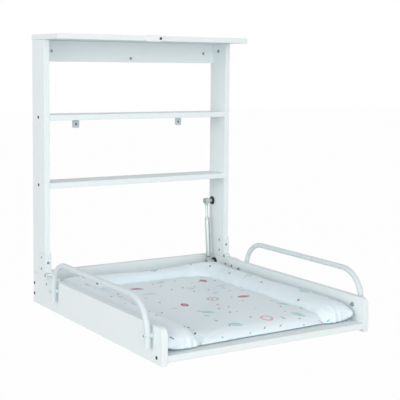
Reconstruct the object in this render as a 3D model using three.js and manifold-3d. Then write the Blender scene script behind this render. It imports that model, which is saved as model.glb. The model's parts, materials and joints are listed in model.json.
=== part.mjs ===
// Wall-hung baby changing station whose tray folds up in front of its shelves.
// Millimetres, +Z up, +X to the right, the front towards -Y.
// The origin is the middle of the wall rail's wall side, and the wall is the plane Y = 0.

import * as THREE from 'three';
import { mergeVertices } from 'three/addons/utils/BufferGeometryUtils.js';
import Module from 'manifold-3d';

const wasm = await Module();
wasm.setup();

// Clearances
const seatGap = 0.3;
const runningGap = 0.25;
const stopGap = 0.5;
const foldClearance = 5.8;
const latchClearance = 1;

// Carcass boards
const stationWidth = 630;
const boardThickness = 16;
const boardChamfer = 0.8;
const uprightDepth = 87;
const uprightLength = 677;
const topBoardThickness = 15;
const topBoardOverhang = 1;
const wallRailHeight = 61;
const wallRailThickness = 16;
const shelfThickness = 16;
const upperBayHeight = 213;
const middleBayHeight = 179;

// Countersunk wall holes in the wall rail
const wallHoleRadius = 2.8;
const wallHoleSinkRadius = 5.2;
const wallHoleSinkDepth = 3;
const wallHoleInset = 38;
const centreHoleDrop = 18.5;

// Angle brackets between the wall and the upper shelf
const bracketWidth = 22;
const bracketDrop = 28;
const bracketReach = 26;
const bracketSheet = 2;
const bracketSpacing = 355;
const bracketHoleRadius = 2.7;
const bracketHoleInset = 11;
const bracketCorner = 4;

// Board screws with low domed heads
const screwHeadRadius = 4.6;
const screwHeadHeight = 1.4;
const screwHeadFlat = 2.8;
const screwHeadRim = 0.6;
const screwShankRadius = 2.4;
const screwLength = 44;

// Tray boards
const traySideHeight = 90;
const traySideCorner = 20;
const trayBottomLift = 8;
const trayBottomThickness = 16;
const rearBoardThickness = 16;
const frontScrewInset = 26;
const rearScrewHeights = [19, 50];

// Hinges that wrap round the board edges
const hingeSheet = 2;
const hingeAdvance = 6;
const hingeRise = 5;
const hingeEarRadius = 7;
const hingeBarrelRadius = 4.4;
const hingePinRadius = 2.6;
const hingePinHeadRadius = 4.6;
const hingePinHeadFlat = 3.2;
const hingePinHeadHeight = 1.6;
const upperLeafReach = 42;
const upperLeafHeight = 66;
const upperLeafLift = 1;
const upperWebLift = 9.5;
const lowerLeafStart = 8;
const lowerLeafTail = 9;
const lowerLeafLength = 50;
const lowerLeafDrop = 36;
const leafCorner = 6;

// Guard rails
const railTubeRadius = 7.5;
const railWall = 1.5;
const railStandoff = 6;
const railRise = 60;
const railBend = 78;
const railLegDrop = 53;
const railRearSetback = 174;
const railFrontInset = 47;
const railBoltDrop = 24;
const saddleRadius = 7;
const saddleWrap = 2.5;
const plugFlange = 2;
const plugStem = 8;
const plugFlat = 6.4;
const plugRim = 1;

// Bolts and cap nuts that hold the guard rails
const boltRadius = 3;
const boltHeadRadius = 5.5;
const boltHeadHeight = 3;
const boltHeadFlat = 3.8;
const nutRadius = 6;
const nutHeight = 6.5;
const nutFlat = 3.6;
const nutRim = 3.2;
const nutThreadDepth = 4.5;

// Gas strut
const strutSetback = 23;
const strutUpperFromWall = 18;
const strutUpperDrop = 78.5;
const strutLowerFromWall = 35;
const strutLowerDrop = 22;
const strutEyeRadius = 9;
const strutEyeWidth = 14;
const strutShankRadius = 5.5;
const strutShankReach = 15;
const strutRodRadius = 4;
const strutCylinderRadius = 7.5;
const strutCylinderWall = 1.2;
const strutCylinderTop = 56;
const strutCylinderEnd = 15;
const strutCylinderBase = 4;
const strutGlandDepth = 9;
const strutGlandFlange = 3;
const strutPistonLength = 10;
const strutPistonSocket = 5;
const strutPistonClearance = 3;
const strutStudRadius = 4;
const strutClipRadius = 7;
const strutClipThickness = 1.6;
const strutPinFlat = 5.6;
const strutCupRadius = 14;
const strutCupNose = 9.5;
const strutCupFlange = 3;
const strutCupWaist = 11.8;
const strutCupWaistAt = 9;

// Turn button on the front edge of the top board
const latchArm = 39;
const latchHalfWidth = 10;
const latchThickness = 8;
const latchRound = 1.5;
const latchPivotX = 5;
const latchScrewHeadRadius = 4.2;
const latchScrewHeadFlat = 2.5;
const latchScrewHeadHeight = 2;
const latchScrewRadius = 2.2;
const latchScrewLength = 24;

// Changing mat
const matSideGap = 5;
const matRearGap = 46;
const matFrontInset = 28;
const matRecessThickness = 22;
const matBolsterRise = 26;
const matBolsterWidth = 104;
const matRearBolsterWidth = 80;
const matRecessCorner = 60;
const matBolsterSlope = 46;
const matSeamShare = 0.45;
const matEdgePower = 14;
const matPlanCorner = 20;
const matSidePull = 4;
const matCellsAcross = 26;
const matCellsAlong = 24;

// Facet counts
const roundSides = 20;
const smallSides = 12;
const cornerSteps = 5;
const bendSteps = 8;
const latchRoundSteps = 2;

// Places worked out from the sizes
const halfWidth = stationWidth / 2;
const innerHalf = halfWidth - boardThickness;
const boardMiddle = halfWidth - boardThickness / 2;
const uprightTop = wallRailHeight / 2;
const uprightBottom = uprightTop - uprightLength;
const topBoardUnderside = uprightTop + seatGap;
const upperShelfTop = uprightTop - upperBayHeight;
const lowerShelfTop = upperShelfTop - shelfThickness - middleBayHeight;
const traySideTop = uprightBottom - stopGap;
const traySideBottom = traySideTop - traySideHeight;
const hingeY = -(uprightDepth + hingeAdvance);
const hingeZ = traySideTop + hingeRise;
const trayLength = topBoardUnderside - foldClearance - hingeZ - hingeY;
const trayFloorUnderside = traySideBottom + trayBottomLift;
const trayFloor = trayFloorUnderside + trayBottomThickness;
const topBoardDepth = hingeZ - trayFloorUnderside - hingeY + latchClearance;
const railBoltZ = traySideTop - railBoltDrop;
const railRearY = -railRearSetback;
const railFrontY = railFrontInset - trayLength;
const strutX = innerHalf - strutSetback;
const strutUpperZ = lowerShelfTop - shelfThickness - strutUpperDrop;
const strutUpper = new THREE.Vector3(strutX, -strutUpperFromWall, strutUpperZ);
const strutLower = new THREE.Vector3(strutX, -strutLowerFromWall, traySideTop - strutLowerDrop);
const strutLength = strutUpper.distanceTo(strutLower);
const strutCupLength = strutSetback - strutEyeWidth / 2 - 2 * seatGap;
const latchZ = topBoardUnderside + topBoardThickness / 2;
const screwHoleRadius = screwShankRadius + seatGap;
const boltHoleRadius = boltRadius + seatGap;

// Unit directions
const alongX = new THREE.Vector3(1, 0, 0);
const alongY = new THREE.Vector3(0, 1, 0);
const alongZ = new THREE.Vector3(0, 0, 1);
const sides = { left: -1, right: 1 };

// Finishes
function finish(color, roughness, metalness) {
  return new THREE.MeshStandardMaterial({ color, roughness, metalness });
}
const whiteBoard = finish(0xf1f4f5, 0.45, 0);
const whiteSteel = finish(0xe6edec, 0.35, 0.1);
const zincSteel = finish(0xb4b8ba, 0.4, 0.9);
const brightSteel = finish(0xc9ccce, 0.25, 1);
const darkSteel = finish(0x34363a, 0.5, 0.8);
const blackPlastic = finish(0x17181a, 0.5, 0);
const greyPlastic = finish(0xc3c8ca, 0.5, 0);
const whitePlastic = finish(0xf2f4f4, 0.4, 0);
const matFilm = finish(0xe9eff4, 0.4, 0);

const station = new THREE.Group();

function addPiece(name, geometry, material, parent = station) {
  const mesh = new THREE.Mesh(geometry, material);
  mesh.name = name;
  parent.add(mesh);
  return mesh;
}

// Solid joins and cuts
function toSolid(geometry) {
  const bare = geometry.clone();
  bare.deleteAttribute('normal');
  bare.deleteAttribute('uv');
  const welded = mergeVertices(bare);
  const corners = welded.index.array;
  const kept = [];
  for (let i = 0; i < corners.length; i += 3) {
    const [a, b, c] = corners.slice(i, i + 3);
    if (a !== b && b !== c && c !== a) kept.push(a, b, c);
  }
  const vertProperties = new Float32Array(welded.attributes.position.array);
  const triVerts = new Uint32Array(kept);
  return new wasm.Manifold(new wasm.Mesh({ numProp: 3, vertProperties, triVerts }));
}

function toGeometry(solid) {
  const mesh = solid.getMesh();
  const geometry = new THREE.BufferGeometry();
  geometry.setAttribute('position', new THREE.BufferAttribute(new Float32Array(mesh.vertProperties), 3));
  geometry.setIndex(new THREE.BufferAttribute(new Uint32Array(mesh.triVerts), 1));
  const faceted = geometry.toNonIndexed();
  faceted.computeVertexNormals();
  return faceted;
}

function cut(body, ...tools) {
  return toGeometry(tools.reduce((solid, tool) => solid.subtract(toSolid(tool)), toSolid(body)));
}

function join(body, ...others) {
  return toGeometry(others.reduce((solid, other) => solid.add(toSolid(other)), toSolid(body)));
}

// An outline of straight runs whose corners, given as [x, y, radius], are rounded by arcs
function outline(corners) {
  const shape = new THREE.Shape();
  corners.forEach(([x, y, radius = 0], i) => {
    const corner = new THREE.Vector2(x, y);
    const previous = corners.at(i - 1);
    const next = corners[(i + 1) % corners.length];
    const before = new THREE.Vector2(previous[0], previous[1]).sub(corner).normalize();
    const after = new THREE.Vector2(next[0], next[1]).sub(corner).normalize();
    const start = corner.clone().addScaledVector(before, radius);
    if (i === 0) shape.moveTo(start.x, start.y);
    else shape.lineTo(start.x, start.y);
    if (radius === 0) return;
    const centre = corner.clone().addScaledVector(before, radius).addScaledVector(after, radius);
    const end = corner.clone().addScaledVector(after, radius);
    const from = start.sub(centre).angle();
    const to = end.sub(centre).angle();
    const clockwise = before.cross(after) > 0;
    shape.absarc(centre.x, centre.y, radius, from, to, clockwise);
  });
  shape.closePath();
  return shape;
}

// A plate: an outline in the (Y, Z), (Z, X) or (X, Y) plane, made thick along X, Y or Z
const plateBases = {
  x: [alongY, alongZ, alongX],
  y: [alongZ, alongX, alongY],
  z: [alongX, alongY, alongZ],
};

function plate(shape, axis, from, to, chamfer = 0, steps = cornerSteps, chamferSteps = 1) {
  const geometry = new THREE.ExtrudeGeometry(shape, {
    depth: to - from - 2 * chamfer,
    curveSegments: steps,
    bevelEnabled: chamfer > 0,
    bevelThickness: chamfer,
    bevelSize: chamfer,
    bevelOffset: -chamfer,
    bevelSegments: chamferSteps,
  });
  geometry.translate(0, 0, from + chamfer);
  return geometry.applyMatrix4(new THREE.Matrix4().makeBasis(...plateBases[axis]));
}

// A board between two opposite corners, thin along one axis, with chamfered faces
function board(low, high, thin, chamfer = boardChamfer) {
  const [first, second] = { x: ['y', 'z'], y: ['z', 'x'], z: ['x', 'y'] }[thin];
  const shape = outline([
    [low[first], low[second]],
    [high[first], low[second]],
    [high[first], high[second]],
    [low[first], high[second]],
  ]);
  return plate(shape, thin, low[thin], high[thin], chamfer);
}

// A turned piece: [radius, distance] points revolved about a line through origin
function turned(profile, direction, origin, around = smallSides) {
  const points = profile.map(([radius, distance]) => new THREE.Vector2(radius, distance));
  const geometry = new THREE.LatheGeometry(points, around);
  geometry.applyQuaternion(new THREE.Quaternion().setFromUnitVectors(alongY, direction));
  return geometry.translate(origin.x, origin.y, origin.z);
}

function pinProfile(radius, from, to) {
  return [[0, from], [radius, from], [radius, to], [0, to]];
}

function place(x, y, z) {
  return new THREE.Vector3(x, y, z);
}

// A board screw driven along a direction from the face point where its head seats
function boardScrew(direction, seat) {
  const profile = [
    [0, -seatGap - screwHeadHeight],
    [screwHeadFlat, -seatGap - screwHeadHeight],
    [screwHeadRadius, -seatGap - screwHeadRim],
    [screwHeadRadius, -seatGap],
    [screwShankRadius, -seatGap],
    [screwShankRadius, screwLength - screwShankRadius],
    [0, screwLength],
  ];
  return turned(profile, direction, seat);
}

function screwHole(direction, seat) {
  return turned(pinProfile(screwHoleRadius, -seatGap, screwLength + seatGap), direction, seat);
}

// Shelves, wall rail and top board
const shelfTops = { upper: upperShelfTop, lower: lowerShelfTop };
const shelfScrewSeats = {};
for (const [level, top] of Object.entries(shelfTops)) {
  for (const [side, sign] of Object.entries(sides)) {
    const z = top - shelfThickness / 2;
    shelfScrewSeats[`${side}_${level}`] = place(sign * halfWidth, -uprightDepth / 2, z);
  }
}

function inward(sign) {
  return alongX.clone().multiplyScalar(-sign);
}

for (const [level, top] of Object.entries(shelfTops)) {
  const blank = board(
    place(seatGap - innerHalf, -uprightDepth, top - shelfThickness),
    place(innerHalf - seatGap, 0, top),
    'z',
  );
  const holes = Object.entries(sides).map(([side, sign]) =>
    screwHole(inward(sign), shelfScrewSeats[`${side}_${level}`]));
  addPiece(`${level}_shelf`, cut(blank, ...holes), whiteBoard);
}

function wallHole(x, z) {
  const profile = [
    [0, -seatGap],
    [wallHoleSinkRadius, -seatGap],
    [wallHoleSinkRadius, 0],
    [wallHoleRadius, wallHoleSinkDepth],
    [wallHoleRadius, wallRailThickness + seatGap],
    [0, wallRailThickness + seatGap],
  ];
  return turned(profile, alongY, place(x, -wallRailThickness, z));
}

const wallRailBlank = board(
  place(seatGap - innerHalf, -wallRailThickness, -wallRailHeight / 2),
  place(innerHalf - seatGap, 0, wallRailHeight / 2),
  'y',
);
const wallHoles = [
  wallHole(wallHoleInset - innerHalf, 0),
  wallHole(0, -centreHoleDrop),
  wallHole(innerHalf - wallHoleInset, 0),
];
addPiece('wall_rail', cut(wallRailBlank, ...wallHoles), whiteBoard);

const latchPivot = place(latchPivotX, -topBoardDepth, latchZ);
const topBoardBlank = board(
  place(-halfWidth - topBoardOverhang, -topBoardDepth, topBoardUnderside),
  place(halfWidth + topBoardOverhang, 0, topBoardUnderside + topBoardThickness),
  'z',
);
const latchScrewBore = pinProfile(latchScrewRadius + seatGap, -seatGap, latchScrewLength);
addPiece('top_board', cut(topBoardBlank, turned(latchScrewBore, alongY, latchPivot)), whiteBoard);

// Uprights and the screws that hold the shelves
for (const [side, sign] of Object.entries(sides)) {
  const near = sign * innerHalf;
  const far = sign * halfWidth;
  const blank = board(
    place(Math.min(near, far), -uprightDepth, uprightBottom),
    place(Math.max(near, far), 0, uprightTop),
    'x',
  );
  const levels = Object.keys(shelfTops);
  const holes = levels.map((level) => screwHole(inward(sign), shelfScrewSeats[`${side}_${level}`]));
  addPiece(`${side}_upright`, cut(blank, ...holes), whiteBoard);
  for (const level of levels) {
    const screw = boardScrew(inward(sign), shelfScrewSeats[`${side}_${level}`]);
    addPiece(`${side}_${level}_shelf_screw`, screw, zincSteel);
  }
}

// Angle brackets under the upper shelf, each with a wall hole and a shelf hole
for (const [side, sign] of Object.entries(sides)) {
  const middle = sign * bracketSpacing / 2;
  const top = upperShelfTop - shelfThickness - seatGap;
  const wallLeg = outline([
    [top - bracketDrop, middle - bracketWidth / 2, bracketCorner],
    [top, middle - bracketWidth / 2],
    [top, middle + bracketWidth / 2],
    [top - bracketDrop, middle + bracketWidth / 2, bracketCorner],
  ]);
  const shelfLeg = outline([
    [middle - bracketWidth / 2, -bracketReach, bracketCorner],
    [middle + bracketWidth / 2, -bracketReach, bracketCorner],
    [middle + bracketWidth / 2, 0],
    [middle - bracketWidth / 2, 0],
  ]);
  const angle = join(
    plate(wallLeg, 'y', -bracketSheet, 0),
    plate(shelfLeg, 'z', top - bracketSheet, top),
  );
  const through = pinProfile(bracketHoleRadius, -bracketSheet - seatGap, bracketSheet + seatGap);
  const wallScrewHole = turned(through, alongY, place(middle, 0, top - bracketDrop + bracketHoleInset));
  const shelfScrewHole = turned(through, alongZ, place(middle, bracketHoleInset - bracketReach, top));
  addPiece(`${side}_wall_bracket`, cut(angle, wallScrewHole, shelfScrewHole), zincSteel);
}

// Tray boards and their screws
const rearScrewZ = rearScrewHeights.map((height) => trayFloorUnderside + height);
const frontScrewPlace = [frontScrewInset - trayLength, trayFloorUnderside + trayBottomThickness / 2];

function trayScrewSeats(sign) {
  const rear = rearScrewZ.map((z) => place(sign * halfWidth, -rearBoardThickness / 2, z));
  return [...rear, place(sign * halfWidth, ...frontScrewPlace)];
}

const trayScrewHoles = Object.values(sides).flatMap((sign) =>
  trayScrewSeats(sign).map((seat) => screwHole(inward(sign), seat)));
const rearBoard = board(
  place(seatGap - innerHalf, -rearBoardThickness, trayFloorUnderside),
  place(innerHalf - seatGap, 0, traySideTop),
  'y',
);
addPiece('rear_tray_board', cut(rearBoard, ...trayScrewHoles), whiteBoard);
const trayBottom = board(
  place(seatGap - innerHalf, -trayLength, trayFloorUnderside),
  place(innerHalf - seatGap, -rearBoardThickness - seatGap, trayFloor),
  'z',
);
addPiece('tray_bottom', cut(trayBottom, ...trayScrewHoles), whiteBoard);

const railLegY = { rear: railRearY, front: railFrontY };

function railHole(sign, y) {
  const reach = boardThickness + railStandoff + 2 * railTubeRadius;
  const bore = pinProfile(boltHoleRadius, -reach, reach);
  return turned(bore, alongX, place(sign * halfWidth, y, railBoltZ));
}

const screwNames = ['lower_rear', 'upper_rear', 'front'];
for (const [side, sign] of Object.entries(sides)) {
  const shape = outline([
    [-trayLength, traySideBottom],
    [0, traySideBottom],
    [0, traySideTop],
    [-trayLength, traySideTop, traySideCorner],
  ]);
  const near = sign * innerHalf;
  const far = sign * halfWidth;
  const blank = plate(shape, 'x', Math.min(near, far), Math.max(near, far), boardChamfer);
  const seats = trayScrewSeats(sign);
  const screwHoles = seats.map((seat) => screwHole(inward(sign), seat));
  const railHoles = Object.values(railLegY).map((y) => railHole(sign, y));
  addPiece(`${side}_tray_side`, cut(blank, ...screwHoles, ...railHoles), whiteBoard);
  seats.forEach((seat, i) => {
    addPiece(`${side}_${screwNames[i]}_tray_screw`, boardScrew(inward(sign), seat), darkSteel);
  });
}

// Hinges: an upper leaf round the upright, a lower leaf with a barrel round the tray side, and a pin
const cheekInner = boardThickness / 2 + seatGap;
const cheekOuter = cheekInner + hingeSheet;
const barrelHalf = cheekInner - seatGap;

function cheeks(shape, middle) {
  return [-1, 1].map((sign) => {
    const inner = middle + sign * cheekInner;
    const outer = middle + sign * cheekOuter;
    return plate(shape, 'x', Math.min(inner, outer), Math.max(inner, outer));
  });
}

function upperLeafCheek() {
  const front = -uprightDepth - seatGap - hingeSheet;
  const back = -uprightDepth + upperLeafReach;
  const low = uprightBottom + upperLeafLift;
  const high = low + upperLeafHeight;
  const earMeetsFront = Math.acos((front - hingeY) / hingeEarRadius);
  const earMeetsLow = Math.asin((low - hingeZ) / hingeEarRadius);
  const shape = new THREE.Shape();
  shape.moveTo(back, low + leafCorner);
  shape.absarc(back - leafCorner, high - leafCorner, leafCorner, 0, Math.PI / 2, false);
  shape.absarc(front + leafCorner, high - leafCorner, leafCorner, Math.PI / 2, Math.PI, false);
  shape.absarc(hingeY, hingeZ, hingeEarRadius, earMeetsFront, 2 * Math.PI + earMeetsLow, false);
  shape.absarc(back - leafCorner, low + leafCorner, leafCorner, -Math.PI / 2, 0, false);
  return shape;
}

function lowerLeafCheek() {
  const top = traySideTop + seatGap + hingeSheet;
  const tailTop = traySideTop - seatGap;
  const low = top - lowerLeafDrop;
  const back = hingeY + lowerLeafTail;
  const front = hingeY - lowerLeafStart - lowerLeafLength;
  const earRoom = hingeEarRadius + stopGap;
  const roomFrom = Math.PI + Math.asin((hingeZ - top) / earRoom);
  const roomTo = 2 * Math.PI - Math.asin((hingeZ - tailTop) / earRoom);
  const shape = new THREE.Shape();
  shape.moveTo(front, top);
  shape.absarc(hingeY, hingeZ, earRoom, roomFrom, roomTo, false);
  shape.lineTo(back, tailTop);
  shape.absarc(back - leafCorner, low + leafCorner, leafCorner, 0, -Math.PI / 2, true);
  shape.absarc(front + leafCorner, low + leafCorner, leafCorner, -Math.PI / 2, -Math.PI, true);
  return shape;
}

function hingeBore(middle) {
  const reach = cheekOuter + seatGap;
  const bore = pinProfile(hingePinRadius + runningGap, -reach, reach);
  return turned(bore, alongX, place(middle, hingeY, hingeZ));
}

for (const [side, sign] of Object.entries(sides)) {
  const middle = sign * boardMiddle;
  const upperWebBack = -uprightDepth - seatGap;
  const upperWebTop = uprightBottom + upperLeafLift + upperLeafHeight - leafCorner;
  const upperWeb = board(
    place(middle - cheekOuter, upperWebBack - hingeSheet, uprightBottom + upperWebLift),
    place(middle + cheekOuter, upperWebBack, upperWebTop),
    'y',
    0,
  );
  const upperLeaf = cut(join(upperWeb, ...cheeks(upperLeafCheek(), middle)), hingeBore(middle));
  addPiece(`${side}_upper_hinge_leaf`, upperLeaf, whiteSteel);

  const webBack = hingeY - lowerLeafStart;
  const lowerWeb = board(
    place(middle - cheekOuter, webBack - lowerLeafLength, traySideTop + seatGap),
    place(middle + cheekOuter, webBack, traySideTop + seatGap + hingeSheet),
    'z',
    0,
  );
  const tongue = board(
    place(middle - barrelHalf, webBack - hingeSheet, traySideTop + seatGap),
    place(middle + barrelHalf, hingeY - hingePinRadius, traySideTop + seatGap + hingeSheet),
    'z',
    0,
  );
  const barrel = turned(
    pinProfile(hingeBarrelRadius, -barrelHalf, barrelHalf),
    alongX,
    place(middle, hingeY, hingeZ),
    roundSides,
  );
  const lowerLeaf = join(lowerWeb, tongue, barrel, ...cheeks(lowerLeafCheek(), middle));
  addPiece(`${side}_lower_hinge_leaf`, cut(lowerLeaf, hingeBore(middle)), whiteSteel);

  const neck = cheekOuter + seatGap;
  const headEnd = neck + hingePinHeadHeight;
  const pin = [
    [0, -headEnd],
    [hingePinHeadFlat, -headEnd],
    [hingePinHeadRadius, -neck],
    [hingePinRadius, -neck],
    [hingePinRadius, neck],
    [hingePinHeadRadius, neck],
    [hingePinHeadFlat, headEnd],
    [0, headEnd],
  ];
  addPiece(`${side}_hinge_pin`, turned(pin, alongX, place(middle, hingeY, hingeZ)), zincSteel);
}

// Guard rails: a bent tube with straight legs, carried one step per straight and several per bend
class RailPath extends THREE.Curve {
  constructor(x) {
    super();
    const run = traySideTop + railRise;
    const end = traySideTop - railLegDrop;
    const rearBend = place(x, railRearY - railBend, run - railBend);
    const frontBend = place(x, railFrontY + railBend, run - railBend);
    this.stations = [{ point: place(x, railRearY, end), tangent: alongZ.clone() }];
    for (let i = 0; i <= bendSteps; i += 1) this.addBend(rearBend, i * Math.PI / 2 / bendSteps);
    for (let i = 0; i <= bendSteps; i += 1) this.addBend(frontBend, (1 + i / bendSteps) * Math.PI / 2);
    this.stations.push({ point: place(x, railFrontY, end), tangent: alongZ.clone().negate() });
  }

  addBend(centre, angle) {
    const out = place(0, Math.cos(angle), Math.sin(angle));
    const point = centre.clone().addScaledVector(out, railBend);
    this.stations.push({ point, tangent: place(0, -Math.sin(angle), Math.cos(angle)) });
  }

  station(share) {
    return this.stations[Math.round(share * (this.stations.length - 1))];
  }

  getPointAt(share) {
    return this.station(share).point.clone();
  }

  getTangentAt(share) {
    return this.station(share).tangent.clone();
  }
}

function tube(path) {
  const ring = new THREE.Shape();
  ring.absarc(0, 0, railTubeRadius, 0, 2 * Math.PI, false);
  const bore = new THREE.Path();
  bore.absarc(0, 0, railTubeRadius - railWall, 0, 2 * Math.PI, true);
  ring.holes.push(bore);
  return new THREE.ExtrudeGeometry(ring, {
    steps: path.stations.length - 1,
    curveSegments: smallSides / 2,
    extrudePath: path,
  });
}

for (const [side, sign] of Object.entries(sides)) {
  const outward = alongX.clone().multiplyScalar(sign);
  const railX = sign * (halfWidth + railStandoff + railTubeRadius);
  const railHoles = Object.values(railLegY).map((y) => railHole(sign, y));
  addPiece(`${side}_guard_rail`, cut(tube(new RailPath(railX)), ...railHoles), whiteSteel);

  for (const [end, y] of Object.entries(railLegY)) {
    const seat = place(sign * halfWidth, y, railBoltZ);
    const block = turned(pinProfile(saddleRadius, seatGap, railStandoff + saddleWrap), outward, seat);
    const groove = turned(
      pinProfile(railTubeRadius + seatGap, -2 * saddleRadius, 2 * saddleRadius),
      alongZ,
      place(railX, y, railBoltZ),
      roundSides,
    );
    addPiece(`${side}_${end}_rail_saddle`, cut(block, groove, railHole(sign, y)), whitePlastic);

    const headSeat = railStandoff + 2 * railTubeRadius + seatGap;
    const nutSeat = -boardThickness - seatGap;
    const bolt = [
      [0, nutSeat - nutThreadDepth + seatGap],
      [boltRadius, nutSeat - nutThreadDepth + seatGap],
      [boltRadius, headSeat],
      [boltHeadRadius, headSeat],
      [boltHeadFlat, headSeat + boltHeadHeight],
      [0, headSeat + boltHeadHeight],
    ];
    addPiece(`${side}_${end}_rail_bolt`, turned(bolt, outward, seat), zincSteel);

    const nut = [
      [0, nutSeat - nutHeight],
      [nutFlat, nutSeat - nutHeight],
      [nutRadius, nutSeat - nutRim],
      [nutRadius, nutSeat],
      [boltHoleRadius, nutSeat],
      [boltHoleRadius, nutSeat - nutThreadDepth],
      [0, nutSeat - nutThreadDepth],
    ];
    addPiece(`${side}_${end}_rail_nut`, turned(nut, outward, seat), zincSteel);

    const stemRadius = railTubeRadius - railWall - 2 * seatGap;
    const plug = [
      [0, -plugFlange - seatGap],
      [plugFlat, -plugFlange - seatGap],
      [railTubeRadius, -plugRim - seatGap],
      [railTubeRadius, -seatGap],
      [stemRadius, -seatGap],
      [stemRadius, plugStem],
      [0, plugStem],
    ];
    const legEnd = place(railX, y, traySideTop - railLegDrop);
    addPiece(`${side}_${end}_rail_plug`, turned(plug, alongZ, legEnd), whitePlastic);
  }
}

// Gas strut on the right: it is built hanging from its upper pivot and then leaned to the lower one
const strut = new THREE.Group();
strut.position.copy(strutUpper);
strut.rotation.x = Math.atan2(strutLower.y - strutUpper.y, strutUpper.z - strutLower.z);
station.add(strut);

const strutEyeHole = turned(
  pinProfile(strutStudRadius + runningGap, -strutEyeWidth, strutEyeWidth),
  alongX,
  place(0, 0, 0),
);

function strutEye(shankDirection) {
  const ring = turned(
    pinProfile(strutEyeRadius, -strutEyeWidth / 2, strutEyeWidth / 2),
    alongX,
    place(0, 0, 0),
    roundSides,
  );
  const shankProfile = pinProfile(strutShankRadius, 0, strutShankReach);
  const shank = turned(shankProfile, shankDirection, place(0, 0, 0), roundSides);
  return cut(join(ring, shank), strutEyeHole);
}

const downward = alongZ.clone().negate();
addPiece('strut_upper_eye', strutEye(downward), greyPlastic, strut);

const pistonEnd = strutLength - strutCylinderEnd - strutCylinderBase - strutPistonClearance;
const rodEnd = pistonEnd - strutPistonLength + strutPistonSocket - seatGap;
const rod = pinProfile(strutRodRadius, strutShankReach + seatGap, rodEnd);
addPiece('strut_rod', turned(rod, downward, place(0, 0, 0), roundSides), brightSteel, strut);

const boreRadius = strutCylinderRadius - strutCylinderWall;
const pistonTop = pistonEnd - strutPistonLength;
const piston = [
  [0, pistonTop + strutPistonSocket],
  [strutRodRadius + seatGap, pistonTop + strutPistonSocket],
  [strutRodRadius + seatGap, pistonTop],
  [boreRadius - seatGap, pistonTop],
  [boreRadius - seatGap, pistonEnd],
  [0, pistonEnd],
];
addPiece('strut_piston', turned(piston, downward, place(0, 0, 0), roundSides), blackPlastic, strut);

const cylinderEnd = strutLength - strutCylinderEnd;
const cylinder = [
  [0, cylinderEnd - strutCylinderBase],
  [boreRadius, cylinderEnd - strutCylinderBase],
  [boreRadius, strutCylinderTop],
  [strutCylinderRadius, strutCylinderTop],
  [strutCylinderRadius, cylinderEnd - strutCylinderBase],
  [strutShankRadius, cylinderEnd],
  [0, cylinderEnd],
];
addPiece('strut_cylinder', turned(cylinder, downward, place(0, 0, 0), roundSides), brightSteel, strut);

const glandInner = strutRodRadius + runningGap;
const glandOuter = boreRadius - seatGap;
const gland = [
  [glandInner, strutCylinderTop - seatGap - strutGlandFlange],
  [strutCylinderRadius, strutCylinderTop - seatGap - strutGlandFlange],
  [strutCylinderRadius, strutCylinderTop - seatGap],
  [glandOuter, strutCylinderTop - seatGap],
  [glandOuter, strutCylinderTop + strutGlandDepth],
  [glandInner, strutCylinderTop + strutGlandDepth],
  [glandInner, strutCylinderTop - seatGap - strutGlandFlange],
];
addPiece('strut_gland', turned(gland, downward, place(0, 0, 0), roundSides), blackPlastic, strut);

const lowerEnd = new THREE.Group();
lowerEnd.position.set(0, 0, -strutLength);
strut.add(lowerEnd);
const lowerEyeBlank = strutEye(alongZ);
const lowerEyeTrim = turned(
  pinProfile(strutCylinderRadius, strutCylinderEnd - seatGap, strutCylinderEnd + strutShankReach),
  alongZ,
  place(0, 0, 0),
);
addPiece('strut_lower_eye', cut(lowerEyeBlank, lowerEyeTrim), greyPlastic, lowerEnd);
const eyeFace = strutEyeWidth / 2;
const lowerPin = [
  [0, -eyeFace - seatGap - strutClipThickness],
  [strutPinFlat, -eyeFace - seatGap - strutClipThickness],
  [strutClipRadius, -eyeFace - seatGap],
  [strutStudRadius, -eyeFace - seatGap],
  [strutStudRadius, eyeFace],
  [0, eyeFace],
];
addPiece('strut_lower_pin', turned(lowerPin, alongX, place(0, 0, 0)), darkSteel, lowerEnd);

// Strut cups: the upper one carries a stud through the eye, the lower one ends at the eye's face
function cupProfile(tail) {
  return [
    [0, seatGap],
    [strutCupRadius, seatGap],
    [strutCupRadius, seatGap + strutCupFlange],
    [strutCupWaist, seatGap + strutCupWaistAt],
    [strutCupNose, seatGap + strutCupLength],
    ...tail,
  ];
}
const cupFace = seatGap + strutCupLength;
const clipStart = strutSetback + strutEyeWidth / 2 + seatGap;
const studEnd = clipStart + strutClipThickness + seatGap;
const stud = [[strutStudRadius, cupFace], [strutStudRadius, studEnd], [0, studEnd]];
const inwardRight = inward(sides.right);
const upperCupSeat = place(innerHalf, strutUpper.y, strutUpper.z);
const lowerCupSeat = place(innerHalf, strutLower.y, strutLower.z);
const upperCup = turned(cupProfile(stud), inwardRight, upperCupSeat, roundSides);
const lowerCup = turned(cupProfile([[0, cupFace]]), inwardRight, lowerCupSeat, roundSides);
addPiece('strut_upper_mount', upperCup, blackPlastic);
addPiece('strut_lower_mount', lowerCup, blackPlastic);
const clip = [
  [strutStudRadius + runningGap, clipStart],
  [strutClipRadius, clipStart],
  [strutClipRadius, clipStart + strutClipThickness],
  [strutStudRadius + runningGap, clipStart + strutClipThickness],
  [strutStudRadius + runningGap, clipStart],
];
addPiece('strut_upper_clip', turned(clip, inwardRight, upperCupSeat, roundSides), darkSteel);

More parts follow.
